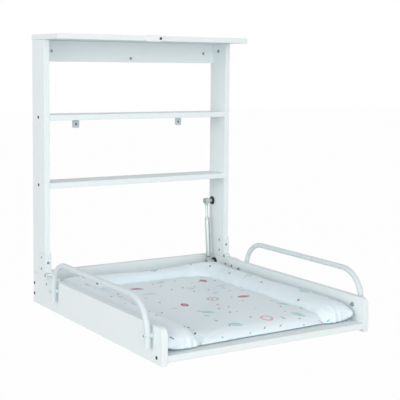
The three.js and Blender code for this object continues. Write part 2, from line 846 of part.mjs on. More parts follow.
// Turn button and its screw
const latchBack = -topBoardDepth - seatGap;
const latchShape = outline([
  [latchZ - latchHalfWidth, latchPivotX - latchArm - latchHalfWidth, latchHalfWidth],
  [latchZ + latchHalfWidth, latchPivotX - latchArm - latchHalfWidth, latchHalfWidth],
  [latchZ + latchHalfWidth, latchPivotX + latchHalfWidth, latchHalfWidth],
  [latchZ - latchHalfWidth, latchPivotX + latchHalfWidth, latchHalfWidth],
]);
const latchFront = latchBack - latchThickness;
const latchBlank = plate(latchShape, 'y', latchFront, latchBack, latchRound, cornerSteps, latchRoundSteps);
const latchBore = pinProfile(latchScrewRadius + runningGap, -2 * latchThickness, latchThickness);
addPiece('turn_button', cut(latchBlank, turned(latchBore, alongY, latchPivot)), whitePlastic);
const latchHeadSeat = -seatGap - latchThickness - seatGap;
const latchScrew = [
  [0, latchHeadSeat - latchScrewHeadHeight],
  [latchScrewHeadFlat, latchHeadSeat - latchScrewHeadHeight],
  [latchScrewHeadRadius, latchHeadSeat],
  [latchScrewRadius, latchHeadSeat],
  [latchScrewRadius, latchScrewLength - seatGap - latchScrewRadius],
  [0, latchScrewLength - seatGap],
];
addPiece('latch_screw', turned(latchScrew, alongY, latchPivot), zincSteel);

// Changing mat: a film pad with a raised border on three sides round a flat recess open to the front
const matHalfWidth = innerHalf - matSideGap;
const matRear = -rearBoardThickness - matRearGap;
const matFront = matFrontInset - trayLength;
const matMiddle = (matRear + matFront) / 2;
const matHalfLength = (matRear - matFront) / 2;
const recessHalf = matHalfWidth - matBolsterWidth;
const recessRear = matRear - matRearBolsterWidth;

function smooth(share) {
  const s = Math.min(1, Math.max(0, share));
  return s * s * (3 - 2 * s);
}

// Distance outside the recess, whose two rear corners are rounded
function outsideRecess(x, y) {
  const across = Math.abs(x) - recessHalf + matRecessCorner;
  const behind = y - recessRear + matRecessCorner;
  const outer = Math.hypot(Math.max(across, 0), Math.max(behind, 0));
  return outer + Math.min(Math.max(across, behind), 0) - matRecessCorner;
}

function matPoint(u, v, upper) {
  const cornerPull = matPlanCorner * u ** 4 * v ** 4;
  const x = u * (matHalfWidth - cornerPull - matSidePull * u ** 2 * (1 - v ** 2));
  const y = matMiddle + v * (matHalfLength - cornerPull - matSidePull * v ** 2 * (1 - u ** 2));
  const thickness = matRecessThickness + matBolsterRise * smooth(outsideRecess(x, y) / matBolsterSlope);
  const swell = Math.sqrt((1 - Math.abs(u) ** matEdgePower) * (1 - Math.abs(v) ** matEdgePower));
  const share = upper ? matSeamShare + (1 - matSeamShare) * swell : matSeamShare * (1 - swell);
  return place(x, y, trayFloor + seatGap + thickness * share);
}

function matGrid(upper) {
  const spread = (i, count) => Math.sin((i / count - 1 / 2) * Math.PI);
  const corners = [];
  for (let i = 0; i < matCellsAcross; i += 1) {
    for (let j = 0; j < matCellsAlong; j += 1) {
      const [u0, u1] = [spread(i, matCellsAcross), spread(i + 1, matCellsAcross)];
      const [v0, v1] = [spread(j, matCellsAlong), spread(j + 1, matCellsAlong)];
      const cell = [[u0, v0], [u1, v0], [u1, v1], [u0, v1]].map(([u, v]) => matPoint(u, v, upper));
      const order = upper ? [0, 1, 2, 0, 2, 3] : [0, 2, 1, 0, 3, 2];
      corners.push(...order.map((k) => cell[k]));
    }
  }
  return corners;
}

const matGeometry = new THREE.BufferGeometry().setFromPoints([...matGrid(true), ...matGrid(false)]);
matGeometry.computeVertexNormals();
addPiece('changing_mat', matGeometry, matFilm);

export default station;
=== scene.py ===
"""Wall-hung baby changing station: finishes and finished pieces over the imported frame.

The hard pieces are worked out in millimetres, and the mat, the shaders and the studio in metres.
"""

import json
import logging
import math
from collections.abc import Callable, Sequence
from dataclasses import dataclass
from enum import Enum

import bmesh
import bpy
import numpy as np
from mathutils import Matrix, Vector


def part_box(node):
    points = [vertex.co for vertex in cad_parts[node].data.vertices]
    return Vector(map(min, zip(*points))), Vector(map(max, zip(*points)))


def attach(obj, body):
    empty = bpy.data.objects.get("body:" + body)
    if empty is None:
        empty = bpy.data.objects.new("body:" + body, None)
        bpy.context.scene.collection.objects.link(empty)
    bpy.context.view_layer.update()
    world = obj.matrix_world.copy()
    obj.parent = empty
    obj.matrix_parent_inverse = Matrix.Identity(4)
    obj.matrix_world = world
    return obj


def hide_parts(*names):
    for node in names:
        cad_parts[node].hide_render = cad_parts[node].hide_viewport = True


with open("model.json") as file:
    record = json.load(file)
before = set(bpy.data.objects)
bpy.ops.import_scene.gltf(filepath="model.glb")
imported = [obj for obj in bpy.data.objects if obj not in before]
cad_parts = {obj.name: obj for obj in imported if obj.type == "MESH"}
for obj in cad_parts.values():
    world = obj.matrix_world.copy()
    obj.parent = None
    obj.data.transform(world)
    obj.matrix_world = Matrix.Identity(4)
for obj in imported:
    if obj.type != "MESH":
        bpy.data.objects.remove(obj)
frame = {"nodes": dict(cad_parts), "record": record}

LOG = logging.getLogger("changing_station")
MM = 0.001
SHARP_ANGLE = math.radians(40.0)
MERGE_DISTANCE = 2e-6
MAT_MERGE_DISTANCE = 1e-5
GROUND_STRETCH = 14.0
GLOSS_RANGE = (0.85, 1.2)
SIDES: dict[str, int] = {"left": -1, "right": 1}

Array = np.ndarray
Point = tuple[float, float, float]
Surface = tuple[Array, Array]
Profile = tuple[tuple[float, ...], ...]
Socket = bpy.types.NodeSocket


class Body(Enum):
    """The moving bodies that pieces ride on."""

    CARCASS = "carcass"
    TRAY = "tray"
    ROD = "strut_rod_end"
    CYLINDER = "strut_cylinder_end"
    LATCH = "latch"


class Grain(Enum):
    """The fine relief of a finish: each layer's waves per metre, finer layers and depth in metres."""

    PEARL = ((900.0, 2.0, 0.00006), (14.0, 2.0, 0.00012))
    ORANGE_PEEL = ((650.0, 1.0, 0.00010),)
    MOULDED = ((1500.0, 3.0, 0.00008),)
    PLATED = ((1100.0, 2.0, 0.00004),)
    GROUND = ((420.0, 2.0, 0.00003),)


# Shader nodes


class Nodes:
    """A node tree under construction, with short calls for the nodes that are used."""

    def __init__(self, tree: bpy.types.NodeTree) -> None:
        """Empties the tree and starts on it."""
        self.tree = tree
        tree.nodes.clear()

    def add(self, kind: str) -> bpy.types.Node:
        """Adds a node of a kind, which is named without its prefix."""
        return self.tree.nodes.new(f"ShaderNode{kind}")

    def feed(self, target: Socket, value: object) -> None:
        """Links a socket to an input, or sets the input to a plain value.

        Args:
            target: the input socket.
            value: an output socket, a number or a tuple.
        """
        if isinstance(value, Socket):
            self.tree.links.new(value, target)
        else:
            target.default_value = value

    def math(self, operation: str, first: object, second: object = 0.0) -> Socket:
        """One arithmetic step on two numbers.

        Args:
            operation: the name of the operation.
            first: a socket or a number.
            second: a socket or a number.

        Returns:
            The result's socket.
        """
        node = self.add("Math")
        node.operation = operation
        self.feed(node.inputs[0], first)
        self.feed(node.inputs[1], second)
        return node.outputs[0]

    def span(self, value: Socket, low: object, high: float, start: float = 0.0) -> Socket:
        """A field that ends at 1, carried to another range.

        Args:
            value: the field.
            low: what its start becomes, a socket or a number.
            high: what 1 becomes.
            start: the field's start.

        Returns:
            The new field's socket.
        """
        node = self.add("MapRange")
        self.feed(node.inputs["Value"], value)
        self.feed(node.inputs["From Min"], start)
        self.feed(node.inputs["To Min"], low)
        self.feed(node.inputs["To Max"], high)
        return node.outputs["Result"]

    def parts(self, vector: Socket) -> list[Socket]:
        """A vector's three coordinates.

        Args:
            vector: the vector's socket.

        Returns:
            The coordinates' sockets.
        """
        node = self.add("SeparateXYZ")
        self.feed(node.inputs[0], vector)
        return list(node.outputs)

    def seen(self) -> Socket:
        """1 for rays from the camera, a mirror or glass, and 0 for light.

        Returns:
            The socket.
        """
        path = self.add("LightPath").outputs
        direct = self.math("MAXIMUM", path["Is Camera Ray"], path["Is Glossy Ray"])
        return self.math("MAXIMUM", direct, path["Is Transmission Ray"])


class Shader(Nodes):
    """A material under construction, on a principled shader."""

    def __init__(self, name: str, stretch: Point = (1.0, 1.0, 1.0)) -> None:
        """Starts a material whose fields are read in the piece's own coordinates, in metres.

        Args:
            name: the material's name.
            stretch: how much closer the relief's waves lie along each axis.
        """
        self.material = bpy.data.materials.new(name)
        self.material.use_nodes = True
        super().__init__(self.material.node_tree)
        self.output = self.add("OutputMaterial")
        self.principled = self.add("BsdfPrincipled")
        self.feed(self.output.inputs["Surface"], self.principled.outputs["BSDF"])
        self.point = self.add("TexCoord").outputs["Object"]
        mapping = self.add("Mapping")
        self.feed(mapping.inputs["Scale"], stretch)
        self.feed(mapping.inputs["Vector"], self.point)
        self.stretched = mapping.outputs["Vector"]

    def set(self, name: str, value: object) -> None:
        """Sets one of the principled shader's inputs to a socket, a number or a tuple."""
        self.feed(self.principled.inputs[name], value)

    def noise(self, scale: float, detail: float, point: Socket | None = None) -> Socket:
        """A soft random field.

        Args:
            scale: waves per metre.
            detail: how many finer layers are added.
            point: where it is read, or None for the piece's own coordinates.

        Returns:
            The field's socket, from 0 to 1.
        """
        node = self.add("TexNoise")
        self.feed(node.inputs["Vector"], point or self.point)
        self.feed(node.inputs["Scale"], scale)
        self.feed(node.inputs["Detail"], detail)
        return node.outputs["Fac"]

    def mix(self, share: Socket, first: object, second: object) -> Socket:
        """Two colours mixed by a share.

        Args:
            share: how much of the second colour shows.
            first: a colour or its socket.
            second: a colour or its socket.

        Returns:
            The mixed colour's socket.
        """
        node = self.add("Mix")
        node.data_type = "RGBA"
        self.feed(node.inputs["Factor"], share)
        self.feed(node.inputs["A"], first)
        self.feed(node.inputs["B"], second)
        return node.outputs["Result"]

    def mottle(self, colour: Point, depth: float, scale: float, detail: float) -> Socket:
        """A colour clouded darker by up to a share of it, in waves per metre with finer layers."""
        dark = (*(c * (1.0 - depth) for c in colour), 1.0)
        return self.mix(self.noise(scale, detail), dark, (*colour, 1.0))

    def gloss(self, roughness: float, scale: float, detail: float) -> None:
        """Sets a roughness that varies about its middle, in waves per metre with finer layers."""
        low, high = (roughness * share for share in GLOSS_RANGE)
        self.set("Roughness", self.span(self.noise(scale, detail), low, high))

    def relief(self, layers: Sequence[tuple[float, float, float]]) -> None:
        """Bumps the surface by noise layers, one after the other.

        Args:
            layers: each layer's waves per metre, finer layers and depth in metres.
        """
        normal: Socket | None = None
        for scale, detail, depth in layers:
            bump = self.add("Bump")
            self.feed(bump.inputs["Strength"], 1.0)
            self.feed(bump.inputs["Distance"], depth)
            self.feed(bump.inputs["Height"], self.noise(scale, detail, self.stretched))
            if normal is not None:
                self.feed(bump.inputs["Normal"], normal)
            normal = bump.outputs["Normal"]
        self.set("Normal", normal)


@dataclass(frozen=True)
class Finish:
    """A hard finish: its colour, gloss and fine relief, with a record slot."""

    slot: str
    colour: Point
    grain: Grain
    roughness: float
    metallic: float = 0.0
    mottle: float = 0.03
    specular: float = 0.5
    cloud: tuple[float, float] = (9.0, 3.0)
    wear: tuple[float, float] = (55.0, 4.0)

    def material(self) -> bpy.types.Material:
        """Builds the material: a faint mottle of the colour, uneven gloss and the grain's relief.

        Returns:
            The material.
        """
        shade = Shader(self.slot, (1.0, 1.0, GROUND_STRETCH if self.grain is Grain.GROUND else 1.0))
        shade.set("Base Color", shade.mottle(self.colour, self.mottle, *self.cloud))
        shade.set("Metallic", self.metallic)
        shade.set("Specular IOR Level", self.specular)
        shade.gloss(self.roughness, *self.wear)
        shade.relief(self.grain.value)
        return shade.material


FINISHES: tuple[Finish, ...] = (
    Finish("white_board", (0.820, 0.885, 0.892), Grain.PEARL, 0.50, mottle=0.012, specular=0.25),
    Finish("white_steel", (0.680, 0.765, 0.785), Grain.ORANGE_PEEL, 0.34, specular=0.4),
    Finish("leaf_steel", (0.795, 0.868, 0.875), Grain.ORANGE_PEEL, 0.40, specular=0.35),
    Finish("zinc_steel", (0.33, 0.36, 0.36), Grain.PLATED, 0.40, 0.9, 0.15),
    Finish("bright_steel", (0.55, 0.60, 0.61), Grain.GROUND, 0.36, 0.85, 0.05),
    Finish("dark_steel", (0.075, 0.078, 0.085), Grain.PLATED, 0.42, 0.6, 0.2),
    Finish("black_plastic", (0.022, 0.023, 0.025), Grain.MOULDED, 0.45, mottle=0.2),
    Finish("grey_plastic", (0.52, 0.60, 0.595), Grain.MOULDED, 0.45),
    Finish("white_plastic", (0.87, 0.90, 0.92), Grain.MOULDED, 0.34),
)


# Surfaces


def grid_faces(rows: int, columns: int, wrap: bool) -> Array:
    """The quads of a grid of points stored row by row.

    Args:
        rows: how many rows of points there are.
        columns: how many points a row has.
        wrap: whether each row closes on itself.

    Returns:
        Four point numbers for each quad.
    """
    i, j = np.meshgrid(np.arange(rows - 1), np.arange(columns if wrap else columns - 1), indexing="ij")
    after = (j + 1) % columns
    quads = [i * columns + j, i * columns + after, (i + 1) * columns + after, (i + 1) * columns + j]
    return np.stack(quads, axis=-1).reshape(-1, 4)


def square_frame(axis: Sequence[float]) -> tuple[Array, Array, Array]:
    """Two unit directions square to an axis, and the axis as a unit vector.

    Args:
        axis: the axis.

    Returns:
        The first direction, the second direction and the axis.
    """
    along = np.asarray(axis, float)
    along = along / np.linalg.norm(along)
    helper = np.array([0.0, 0.0, 1.0]) if abs(along[2]) < 0.9 else np.array([0.0, 1.0, 0.0])
    first = np.cross(helper, along)
    first = first / np.linalg.norm(first)
    return first, np.cross(along, first), along


def filleted(corners: Sequence[Sequence[float]], steps: int = 4) -> Array:
    """An open line whose corners are rounded: each corner gives way to a curve that leaves one side and
    meets the other at the corner's radius from it.

    Args:
        corners: rows of first coordinate, second coordinate and, where it is rounded, radius.
        steps: how many pieces each curve has.

    Returns:
        The line's points.
    """
    points = [np.asarray(c[:2], float) for c in corners]
    radii = [c[2] if len(c) > 2 else 0.0 for c in corners]
    share = np.linspace(0.0, 1.0, steps + 1)[:, None]
    pieces: list[Array] = []
    for k, (corner, radius) in enumerate(zip(points, radii)):
        if radius == 0.0 or k in (0, len(points) - 1):
            pieces.append(corner[None])
            continue
        before, after = points[k - 1] - corner, points[k + 1] - corner
        start = corner + before / np.linalg.norm(before) * radius
        end = corner + after / np.linalg.norm(after) * radius
        pieces.append((1 - share) ** 2 * start + 2 * share * (1 - share) * corner + share**2 * end)
    return np.concatenate(pieces)


def shifted(profile: Profile, start: float) -> list[tuple[float, ...]]:
    """A profile's rows of radius, distance and rounding, with a start added to each distance."""
    return [(radius, start + distance, *rounding) for radius, distance, *rounding in profile]


def turned(
    corners: Sequence[Sequence[float]],
    origin: Sequence[float],
    axis: Sequence[float],
    segments: int = 40,
    lift: Callable[[Array, Array], Array] | None = None,
) -> Surface:
    """A profile with rounded corners revolved about an axis: the point at angle t is the origin plus the
    distance along the axis plus the radius times cos t and sin t square to it.

    Args:
        corners: rows of radius, distance and, where the corner is rounded, its radius.
        origin: the point where distance is 0.
        axis: the axis.
        segments: how many steps a turn has.
        lift: gives an extra distance for arrays of the two square coordinates, or None.

    Returns:
        The points and the faces.
    """
    profile = filleted(corners)
    first, second, along = square_frame(axis)
    angle = np.linspace(0.0, 2 * math.pi, segments, endpoint=False)[None, :]
    radius, distance = profile[:, :1], profile[:, 1:2]
    x, y = radius * np.cos(angle), radius * np.sin(angle)
    z = np.broadcast_to(distance, x.shape)
    if lift is not None:
        z = z + lift(x, y)
    points = np.asarray(origin, float) + x[..., None] * first + y[..., None] * second + z[..., None] * along
    return points.reshape(-1, 3), grid_faces(len(profile), segments, True)


def swept_tube(path: Array, normals: Array, side: Array, radius: float, segments: int) -> Surface:
    """A round tube: at each path point a circle in the plane of that point's normal and the side direction.

    Args:
        path: the points along the middle.
        normals: a unit normal for each point.
        side: the unit direction square to the path's plane.
        radius: the tube's radius.
        segments: how many steps the circle has.

    Returns:
        The points and the faces.
    """
    angle = np.linspace(0.0, 2 * math.pi, segments, endpoint=False)
    ring = np.cos(angle)[None, :, None] * normals[:, None, :] + np.sin(angle)[None, :, None] * side
    points = path[:, None, :] + radius * ring
    return points.reshape(-1, 3), grid_faces(len(path), segments, True)


def unit(value: Array) -> Array:
    """The value held between 0 and 1."""
    return np.clip(value, 0.0, 1.0)


def bell(distance: Array, width: float) -> Array:
    """A bell curve: e to the power of minus the square of the distance over the width."""
    return np.exp(-((distance / width) ** 2))


def node_box(node: str) -> tuple[Array, Array]:
    """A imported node's low corner and high corner, in millimetres."""
    low, high = (np.asarray(corner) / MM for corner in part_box(node))
    return low, high


# Objects


def placed(name: str, data: bpy.types.ID) -> bpy.types.Object:
    """Puts an object in the scene.

    Args:
        name: its name.
        data: its mesh, camera or light.

    Returns:
        The object.
    """
    made = bpy.data.objects.new(name, data)
    bpy.context.scene.collection.objects.link(made)
    return made


def merged_mesh(name: str, points: Array, faces: list[list[int]], distance: float) -> bpy.types.Mesh:
    """A mesh with merged points and its faces turned outwards.

    Args:
        name: its name.
        points: its points in metres.
        faces: its faces.
        distance: points closer than this are merged.

    Returns:
        The mesh.
    """
    mesh = bpy.data.meshes.new(name)
    mesh.from_pydata(points.tolist(), [], faces)
    work = bmesh.new()
    work.from_mesh(mesh)
    bmesh.ops.remove_doubles(work, verts=work.verts, dist=distance)
    bmesh.ops.recalc_face_normals(work, faces=work.faces)
    work.to_mesh(mesh)
    work.free()
    return mesh


class Finishes:
    """All the hard finishes, each built once, and the making of the pieces that wear them."""

    def __init__(self) -> None:
        """Builds the materials."""
        self.materials = {finish.slot: finish.material() for finish in FINISHES}

    def dress(self, node: str, finish: str | None = None) -> None:
        """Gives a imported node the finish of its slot, or another.

        Args:
            node: the node's name.
            finish: another finish's slot, or None.
        """
        slots = {part["node"]: part["material_slot"] for part in frame["record"]["subparts"]}
        slot = finish or slots[node]
        mesh = frame["nodes"][node].data
        mesh.materials.clear()
        mesh.materials.append(self.materials[slot])
        LOG.info("dressed %s as %s", node, slot)

    def make(
        self, name: str, surface: Surface, slot: str, body: Body, node: str | None = None, ring: int = 0
    ) -> None:
        """Makes a finished object from points and faces, and sets it riding on a body.

        Args:
            name: the object's name.
            surface: the points in millimetres and the quads.
            slot: its finish, which is also its record slot.
            body: the body that it rides on.
            node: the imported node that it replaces, or None.
            ring: how many points an end ring has, where both ends are capped, or 0.
        """
        points, quads = surface
        count = len(points)
        caps = [list(range(ring)), list(range(count - ring, count))] if ring else []
        mesh = merged_mesh(name, points * MM, quads.tolist() + caps, MERGE_DISTANCE)
        mesh.polygons.foreach_set("use_smooth", np.ones(len(mesh.polygons), bool))
        mesh.set_sharp_from_angle(angle=SHARP_ANGLE)
        mesh.materials.append(self.materials[slot])
        made = placed(name, mesh)
        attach(made, body.value)
        if node is not None:
            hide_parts(node)
        LOG.info("%s: %d points on %s", name, len(mesh.vertices), body.value)


# Fasteners


@dataclass(frozen=True)
class CrossScrew:
    """A screw with a domed head and a cross recess."""

    head_radius: float = 4.6
    head_height: float = 1.5
    shank_radius: float = 2.3
    length: float = 40.0
    recess: float = 0.9
    arm_share: float = 0.62
    slot_share: float = 0.17
    cross_share: float = 0.8
    soft_share: float = 0.10
    dome_share: float = 0.75
    dome_angle: float = 1.15
    dome_rows: int = 18
    taper_share: float = 0.6
    segments: int = 64

    def surface(self, seat: Sequence[float], axis: Sequence[float]) -> Surface:
        """The dome is a circle's arc over the head's radius, sunk by the recess where a point lies in one
        of the cross's two arms; below it the shank runs to a point.

        Args:
            seat: the point on the board's face under the head.
            axis: the direction in which the head faces.

        Returns:
            The points and the faces.
        """
        share = np.linspace(0.0, 1.0, self.dome_rows)
        dome = np.stack([share, np.cos(share * self.dome_angle) - math.cos(self.dome_angle)], axis=1)
        dome[:, 1] /= dome[0, 1]
        rise = self.head_height * self.dome_share
        top = dome * (self.head_radius, rise) + (0.0, self.head_height - rise)
        low = np.array([
            [self.head_radius, 0.0],
            [self.shank_radius, 0.0],
            [self.shank_radius, min(self.shank_radius - self.length, -self.taper_share * self.length)],
            [0.0, -self.length],
        ])
        return turned(np.concatenate([top, low]), seat, axis, self.segments, self.cross)

    def cross(self, x: Array, y: Array) -> Array:
        """How far the recess lowers each point: all of its depth inside an arm, none outside.

        Args:
            x: the first coordinate on the head.
            y: the second coordinate on the head.

        Returns:
            The lift, which is negative in the recess.
        """
        one = self.within(x, self.slot_share) * self.within(y, self.arm_share)
        two = self.within(y, self.slot_share) * self.within(x, self.arm_share)
        inside = np.hypot(x, y) < self.cross_share * self.head_radius
        head = np.arange(len(x))[:, None] < self.dome_rows
        return -self.recess * np.maximum(one, two) * inside * head

    def within(self, offset: Array, share: float) -> Array:
        """1 within a share of the head's radius and 0 past it, with a soft edge."""
        soft = self.soft_share * self.head_radius
        return unit((share * self.head_radius - np.abs(offset)) / soft + 0.5)


@dataclass
class BoardScrews:
    """The screws through the uprights and the tray sides, and the caps over the top's cam fittings."""

    finishes: Finishes
    screw: CrossScrew = CrossScrew()
    cam_radius: float = 5.6
    cam_rise: float = 1.1
    cam_round: float = 0.6
    cam_dish: float = 0.55
    cam_flat: float = 0.62
    cam_lip: float = 0.74
    cam_y: float = -45.0
    cam_z: float = 8.0

    def build(self) -> None:
        """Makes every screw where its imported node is, and the two cam caps."""
        for side, sign in SIDES.items():
            for level in ("upper", "lower"):
                self.screw_at(f"{side}_{level}_shelf_screw", sign, Body.CARCASS)
            for end in ("lower_rear", "upper_rear", "front"):
                self.screw_at(f"{side}_{end}_tray_screw", sign, Body.TRAY)
            self.finishes.make(f"{side}_cam_cap", self.cam(sign), "zinc_steel", Body.CARCASS)

    def screw_at(self, node: str, sign: int, body: Body) -> None:
        """Makes one screw on the middle of its node's outer end.

        Args:
            node: the node that it replaces.
            sign: the side that it faces, -1 for left and 1 for right.
            body: the body that it rides on.
        """
        low, high = node_box(node)
        middle = (low + high) / 2
        face = high[0] if sign > 0 else low[0]
        seat = (face - sign * self.screw.head_height, middle[1], middle[2])
        head = self.screw.surface(seat, (sign, 0, 0))
        self.finishes.make(f"{node}_driven", head, "dark_steel", body, node)

    def cam(self, sign: int) -> Surface:
        """A cam cap: a low disc with a rounded rim and a shallow dished middle.

        Args:
            sign: -1 for left and 1 for right.

        Returns:
            The points and the faces.
        """
        inner = node_box("left_upright")[1][0]
        r, h, rim, dish = self.cam_radius, self.cam_rise, self.cam_round, self.cam_rise * self.cam_dish
        flat, lip = r * self.cam_flat, r * self.cam_lip
        line = [(0, dish), (flat, dish), (lip, h, rim), (r, h, rim), (r, 0), (0, 0)]
        return turned(line, (-sign * inner, self.cam_y, self.cam_z), (-sign, 0, 0))


# Boards and brackets


@dataclass
class Boards:
    """The laminated boards and the shelf's angle brackets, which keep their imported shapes, and the screws
    that go into the wall."""

    finishes: Finishes
    nodes: tuple[str, ...] = (
        "left_upright", "right_upright", "top_board", "wall_rail", "upper_shelf", "lower_shelf",
        "left_tray_side", "right_tray_side", "rear_tray_board", "tray_bottom",
    )
    rail_holes: tuple[tuple[float, float], ...] = ((-261.0, 0.0), (0.0, -18.5), (261.0, 0.0))
    rail_seat_y: float = -14.9
    rail_screw: CrossScrew = CrossScrew(4.2, 0.9, 2.3, 14.5)
    bracket_sheet: float = 2.0
    bracket_inset: float = 11.0
    bracket_screw: CrossScrew = CrossScrew(4.0, 1.2, 2.2, 1.9)

    def build(self) -> None:
        """Dresses each board and bracket, and makes the screws."""
        for node in self.nodes:
            self.finishes.dress(node)
        for side in SIDES:
            node = f"{side}_wall_bracket"
            self.finishes.dress(node, "white_steel")
            low, high = node_box(node)
            seat = ((low[0] + high[0]) / 2, high[1] - self.bracket_sheet, low[2] + self.bracket_inset)
            self.wall_screw(f"{node}_screw", self.bracket_screw, seat)
        for k, (x, z) in enumerate(self.rail_holes):
            self.wall_screw(f"wall_rail_screw_{k}", self.rail_screw, (x, self.rail_seat_y, z))

    def wall_screw(self, name: str, screw: CrossScrew, seat: Point) -> None:
        """Makes a screw that faces the front, from its sizes and the point under its head."""
        self.finishes.make(name, screw.surface(seat, (0, -1, 0)), "zinc_steel", Body.CARCASS)


# Hinges


@dataclass
class Hinges:
    """The wrap-round hinges with their pins and the screws in their leaves."""

    finishes: Finishes
    board_middle: float = 307.0
    cheek_face: float = 10.3
    axis_y: float = -93.0
    axis_z: float = -642.0
    pin_radius: float = 2.6
    pin_head: float = 4.6
    pin_head_rise: float = 1.6
    pin_crown: float = 0.75
    pin_round: float = 1.0
    pin_gap: float = 0.3
    web_face_y: float = -89.3
    web_screw_z: float = -607.0
    upper_screws: tuple[tuple[float, float], ...] = ((-65.0, -627.0), (-65.0, -594.0))
    lower_screws: tuple[tuple[float, float], ...] = ((-101.0, -666.0), (-136.0, -667.0))
    screw: CrossScrew = CrossScrew(3.8, 1.2, 1.7, 5.5)

    def build(self) -> None:
        """Dresses the leaves, and makes the pins and screws on both sides."""
        leaves = (("upper", self.upper_screws, Body.CARCASS), ("lower", self.lower_screws, Body.TRAY))
        for side, sign in SIDES.items():
            for leaf, _, _ in leaves:
                self.finishes.dress(f"{side}_{leaf}_hinge_leaf", "leaf_steel")
            middle = sign * self.board_middle
            name, node = f"{side}_hinge_rivet", f"{side}_hinge_pin"
            self.finishes.make(name, self.pin(middle), "zinc_steel", Body.CARCASS, node)
            for face, way in (("inner", -sign), ("outer", sign)):
                x = middle + way * self.cheek_face
                for leaf, spots, body in leaves:
                    for k, spot in enumerate(spots):
                        head = self.screw.surface((x, *spot), (way, 0, 0))
                        self.finishes.make(f"{side}_{leaf}_leaf_{face}_screw_{k}", head, "zinc_steel", body)
            front = self.screw.surface((middle, self.web_face_y, self.web_screw_z), (0, -1, 0))
            self.finishes.make(f"{side}_upper_leaf_front_screw", front, "zinc_steel", Body.CARCASS)

    def pin(self, middle: float) -> Surface:
        """A rivet: a shank between two domed heads.

        Args:
            middle: the X of the board's middle.

        Returns:
            The points and the faces.
        """
        neck = self.cheek_face + self.pin_gap
        end = neck + self.pin_head_rise
        r, h, crown, rim = self.pin_radius, self.pin_head, self.pin_head * self.pin_crown, self.pin_round
        line = [
            (0, -end), (crown, -end, rim), (h, -neck), (r, -neck),
            (r, neck), (h, neck), (crown, end, rim), (0, end),
        ]
        return turned(line, (middle, self.axis_y, self.axis_z), (1, 0, 0), segments=32)


# Guard rails


